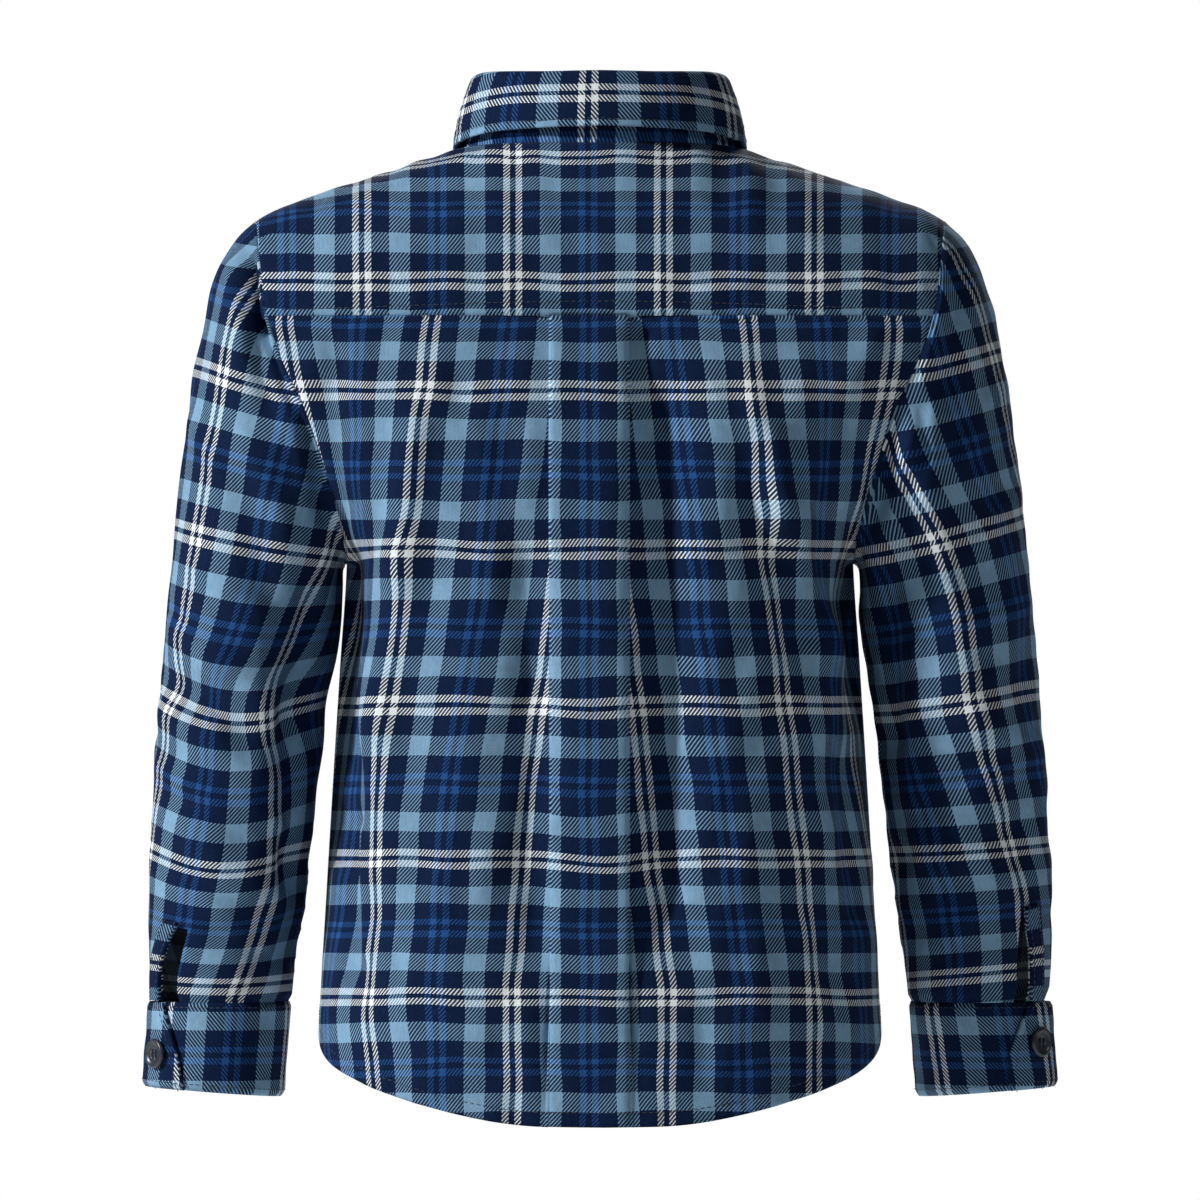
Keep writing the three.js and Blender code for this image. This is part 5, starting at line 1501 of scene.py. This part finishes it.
class FrontOperator(bpy.types.Operator):
    """Both fronts and the button strip."""
    bl_idname = "shirt.fronts"
    bl_label = "Fronts and Button Strip"

    def execute(self, context):
        lines = []
        for side, tuck, name in ((1, 0.0, "left"), (-1, FRONT_TUCK, "right")):
            grid = front_grid(side, tuck)
            cloth_piece(f"front_cloth_{name}", grid, "long_check", THIN, f"front_{name}")
            lines.append(near_edge(grid[0], 6.0, ON_THIN))
        stitch_piece("front_hem_stitches", lines)
        grid = placket_grid()
        cloth_piece("placket_cloth", grid, "long_check", DOUBLE, "front_placket")
        stitch_piece("placket_stitches", near_sides(grid[0], 3.5, ON_DOUBLE))
        return {"FINISHED"}


class CollarOperator(bpy.types.Operator):
    """Collar stand and turned-down collar leaf."""
    bl_idname = "shirt.collar"
    bl_label = "Collar"

    def execute(self, context):
        grid = stand_grid()
        cloth_piece("collar_band_cloth", grid, "cross_check", DOUBLE, "collar_stand")
        stitch_piece("collar_band_stitches", [near_edge(grid[0], 1.8, ON_DOUBLE)])
        grid = fall_grid()
        cloth_piece("collar_leaf_cloth", grid, "cross_check", DOUBLE, "collar_fall")
        lines = [near_edge(grid[0], 3.0, ON_DOUBLE)] + near_sides(grid[0], 3.0, ON_DOUBLE)
        stitch_piece("collar_leaf_stitches", lines)
        return {"FINISHED"}


def mirrored(side, turned, points, *values):
    """A grid made for the +X side, moved to its own side; turned says whether its columns run the other way."""
    grids = (points * np.array([side, 1, 1]), *values)
    return tuple(grid[:, ::-1] for grid in grids) if turned else grids


class SleeveOperator(bpy.types.Operator):
    """Both sleeves, with the slit above each cuff and its binding."""
    bl_idname = "shirt.sleeves"
    bl_label = "Sleeves"

    def execute(self, context):
        for side, name in ((1, "left"), (-1, "right")):
            points, ring, u, v = sleeve_grid(side)
            keep = np.ones((points.shape[0] - 1, points.shape[1] - 1), bool)
            keep[:, SLIT_COLUMN - 1] = ring[:-1, SLIT_COLUMN - 1] < SLIT_TOP_RING[side] + 0.02
            *grid, keep = mirrored(side, side < 0, points, u, v, keep)
            cloth_piece(f"sleeve_cloth_{name}", grid, "long_check", THIN, f"sleeve_{name}",
                        keep=keep, closed=True)
            grid = mirrored(side, side > 0, *binding_grid(side))
            cloth_piece(f"slit_binding_{name}", grid, "long_check", DOUBLE, f"sleeve_placket_{name}")
            stitch_piece(f"slit_stitches_{name}", near_sides(grid[0], 1.2, ON_DOUBLE))
        return {"FINISHED"}


class CuffOperator(bpy.types.Operator):
    """Both cuffs."""
    bl_idname = "shirt.cuffs"
    bl_label = "Cuffs"

    def execute(self, context):
        for side, name in ((1, "left"), (-1, "right")):
            grid = mirrored(side, side < 0, *cuff_grid(side))
            cloth_piece(f"cuff_cloth_{name}", grid, "cross_check", DOUBLE, f"cuff_{name}")
            lines = [near_edge(grid[0], 3.0, ON_DOUBLE), near_edge(grid[0][:-len(CUFF_LIP)], 1.6, ON_DOUBLE, "high")]
            stitch_piece(f"cuff_stitches_{name}", lines + near_sides(grid[0], 3.0, ON_DOUBLE))
        return {"FINISHED"}


class ButtonOperator(bpy.types.Operator):
    """All buttons and the thread through them."""
    bl_idname = "shirt.buttons"
    bl_label = "Buttons"

    def execute(self, context):
        for node in sorted(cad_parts):
            if node.startswith("button_"):
                make_button(node)
        return {"FINISHED"}


# Each light's place, its share of the key light's power, and its size; all look at one point
LIGHTS = {
    "key": ((3.7, 1.6, 1.8), 1.0, 0.4),
    "fill": ((-3.6, 2.1, 2.2), 0.10, 1.0),
    "front_key": ((-0.8, -4.1, 2.0), 0.6, 1.2),
}
LIT_POINT = Vector((0, 0, -0.2))
FLOOR_RADIUS = 2.6
ROOM_COLOUR = (0.93, 0.96, 1.0, 1.0)
PAPER_COLOUR = (1.0, 1.0, 1.0, 1.0)


class StageOperator(bpy.types.Operator):
    """Floor, lights and camera."""
    bl_idname = "shirt.stage"
    bl_label = "Stage"

    def execute(self, context):
        scene = context.scene
        values = scene.shirt_stage
        mesh = bpy.data.meshes.new("floor")
        work = bmesh.new()
        bmesh.ops.create_circle(work, cap_ends=True, segments=96, radius=FLOOR_RADIUS)
        bmesh.ops.translate(work, verts=work.verts, vec=(0, 0, values.floor_drop))
        work.to_mesh(mesh)
        work.free()
        mesh.materials.append(floor_material("floor_paint"))
        floor = bpy.data.objects.new("floor", mesh)
        scene.collection.objects.link(floor)

        for name, (place_at, share, size) in LIGHTS.items():
            data = bpy.data.lights.new(name, "AREA")
            data.energy = values.key_power * share
            data.size = size
            light = bpy.data.objects.new(name, data)
            light.location = place_at
            light.rotation_euler = (LIT_POINT - Vector(place_at)).to_track_quat("-Z", "Y").to_euler()
            scene.collection.objects.link(light)

        world = bpy.data.worlds.new("studio")
        world.use_nodes = True
        t = Tree(world.node_tree)
        room = world.node_tree.nodes["Background"]
        room.inputs[0].default_value = ROOM_COLOUR
        room.inputs[1].default_value = values.fill
        paper = t.node("ShaderNodeBackground")
        paper.inputs[0].default_value = PAPER_COLOUR
        paper.inputs[1].default_value = 1.0
        rays = t.node("ShaderNodeLightPath")
        both = t.node("ShaderNodeMixShader")
        t.link(rays.outputs["Is Camera Ray"], both.inputs[0])
        t.link(room.outputs[0], both.inputs[1])
        t.link(paper.outputs[0], both.inputs[2])
        t.link(both.outputs[0], world.node_tree.nodes["World Output"].inputs[0])
        scene.world = world
        scene.view_settings.view_transform = "Standard"

        data = bpy.data.cameras.new("photo_view")
        data.lens = CAMERA["lens"]
        data.sensor_width = 36
        data.clip_end = 100
        camera = bpy.data.objects.new("photo_view", data)
        camera.location = (CAMERA["x"] * MM, CAMERA["y"] * MM, CAMERA["z"] * MM)
        camera.rotation_euler = (math.radians(90), 0, math.radians(180))
        scene.collection.objects.link(camera)
        scene.camera = camera
        return {"FINISHED"}


OPERATORS = (StageOperator, BackOperator, YokeOperator, FrontOperator, CollarOperator, SleeveOperator, CuffOperator,
             ButtonOperator)


class ShirtPanel(bpy.types.Panel):
    """Lists the shirt's pieces and values."""
    bl_idname = "VIEW3D_PT_shirt"
    bl_label = "Shirt"
    bl_space_type = "VIEW_3D"
    bl_region_type = "UI"
    bl_category = "Shirt"

    def draw(self, context):
        layout = self.layout
        for operator in OPERATORS:
            layout.operator(operator.bl_idname)
        for label, group in (("Cloth", context.scene.shirt_cloth), ("Stitches", context.scene.shirt_stitch),
                             ("Buttons", context.scene.shirt_button), ("Stage", context.scene.shirt_stage)):
            layout.label(text=label)
            for key in group.bl_rna.properties.keys():
                if key not in {"rna_type", "name"}:
                    layout.prop(group, key)


GROUPS = {
    "shirt_cloth": ShirtClothValues,
    "shirt_stitch": ShirtStitchValues,
    "shirt_button": ShirtButtonValues,
    "shirt_stage": ShirtStageValues,
}


def register():
    for group in GROUPS.values():
        bpy.utils.register_class(group)
    for name, group in GROUPS.items():
        setattr(bpy.types.Scene, name, bpy.props.PointerProperty(type=group))
    for operator in OPERATORS:
        bpy.utils.register_class(operator)
    bpy.utils.register_class(ShirtPanel)


def unregister():
    bpy.utils.unregister_class(ShirtPanel)
    for operator in reversed(OPERATORS):
        bpy.utils.unregister_class(operator)
    for name, group in GROUPS.items():
        delattr(bpy.types.Scene, name)
        bpy.utils.unregister_class(group)


def main():
    register()
    bpy.ops.shirt.stage()
    bpy.ops.shirt.back()
    bpy.ops.shirt.yoke()
    bpy.ops.shirt.fronts()
    bpy.ops.shirt.collar()
    bpy.ops.shirt.sleeves()
    bpy.ops.shirt.cuffs()
    bpy.ops.shirt.buttons()


if __name__ == "__main__":
    main()
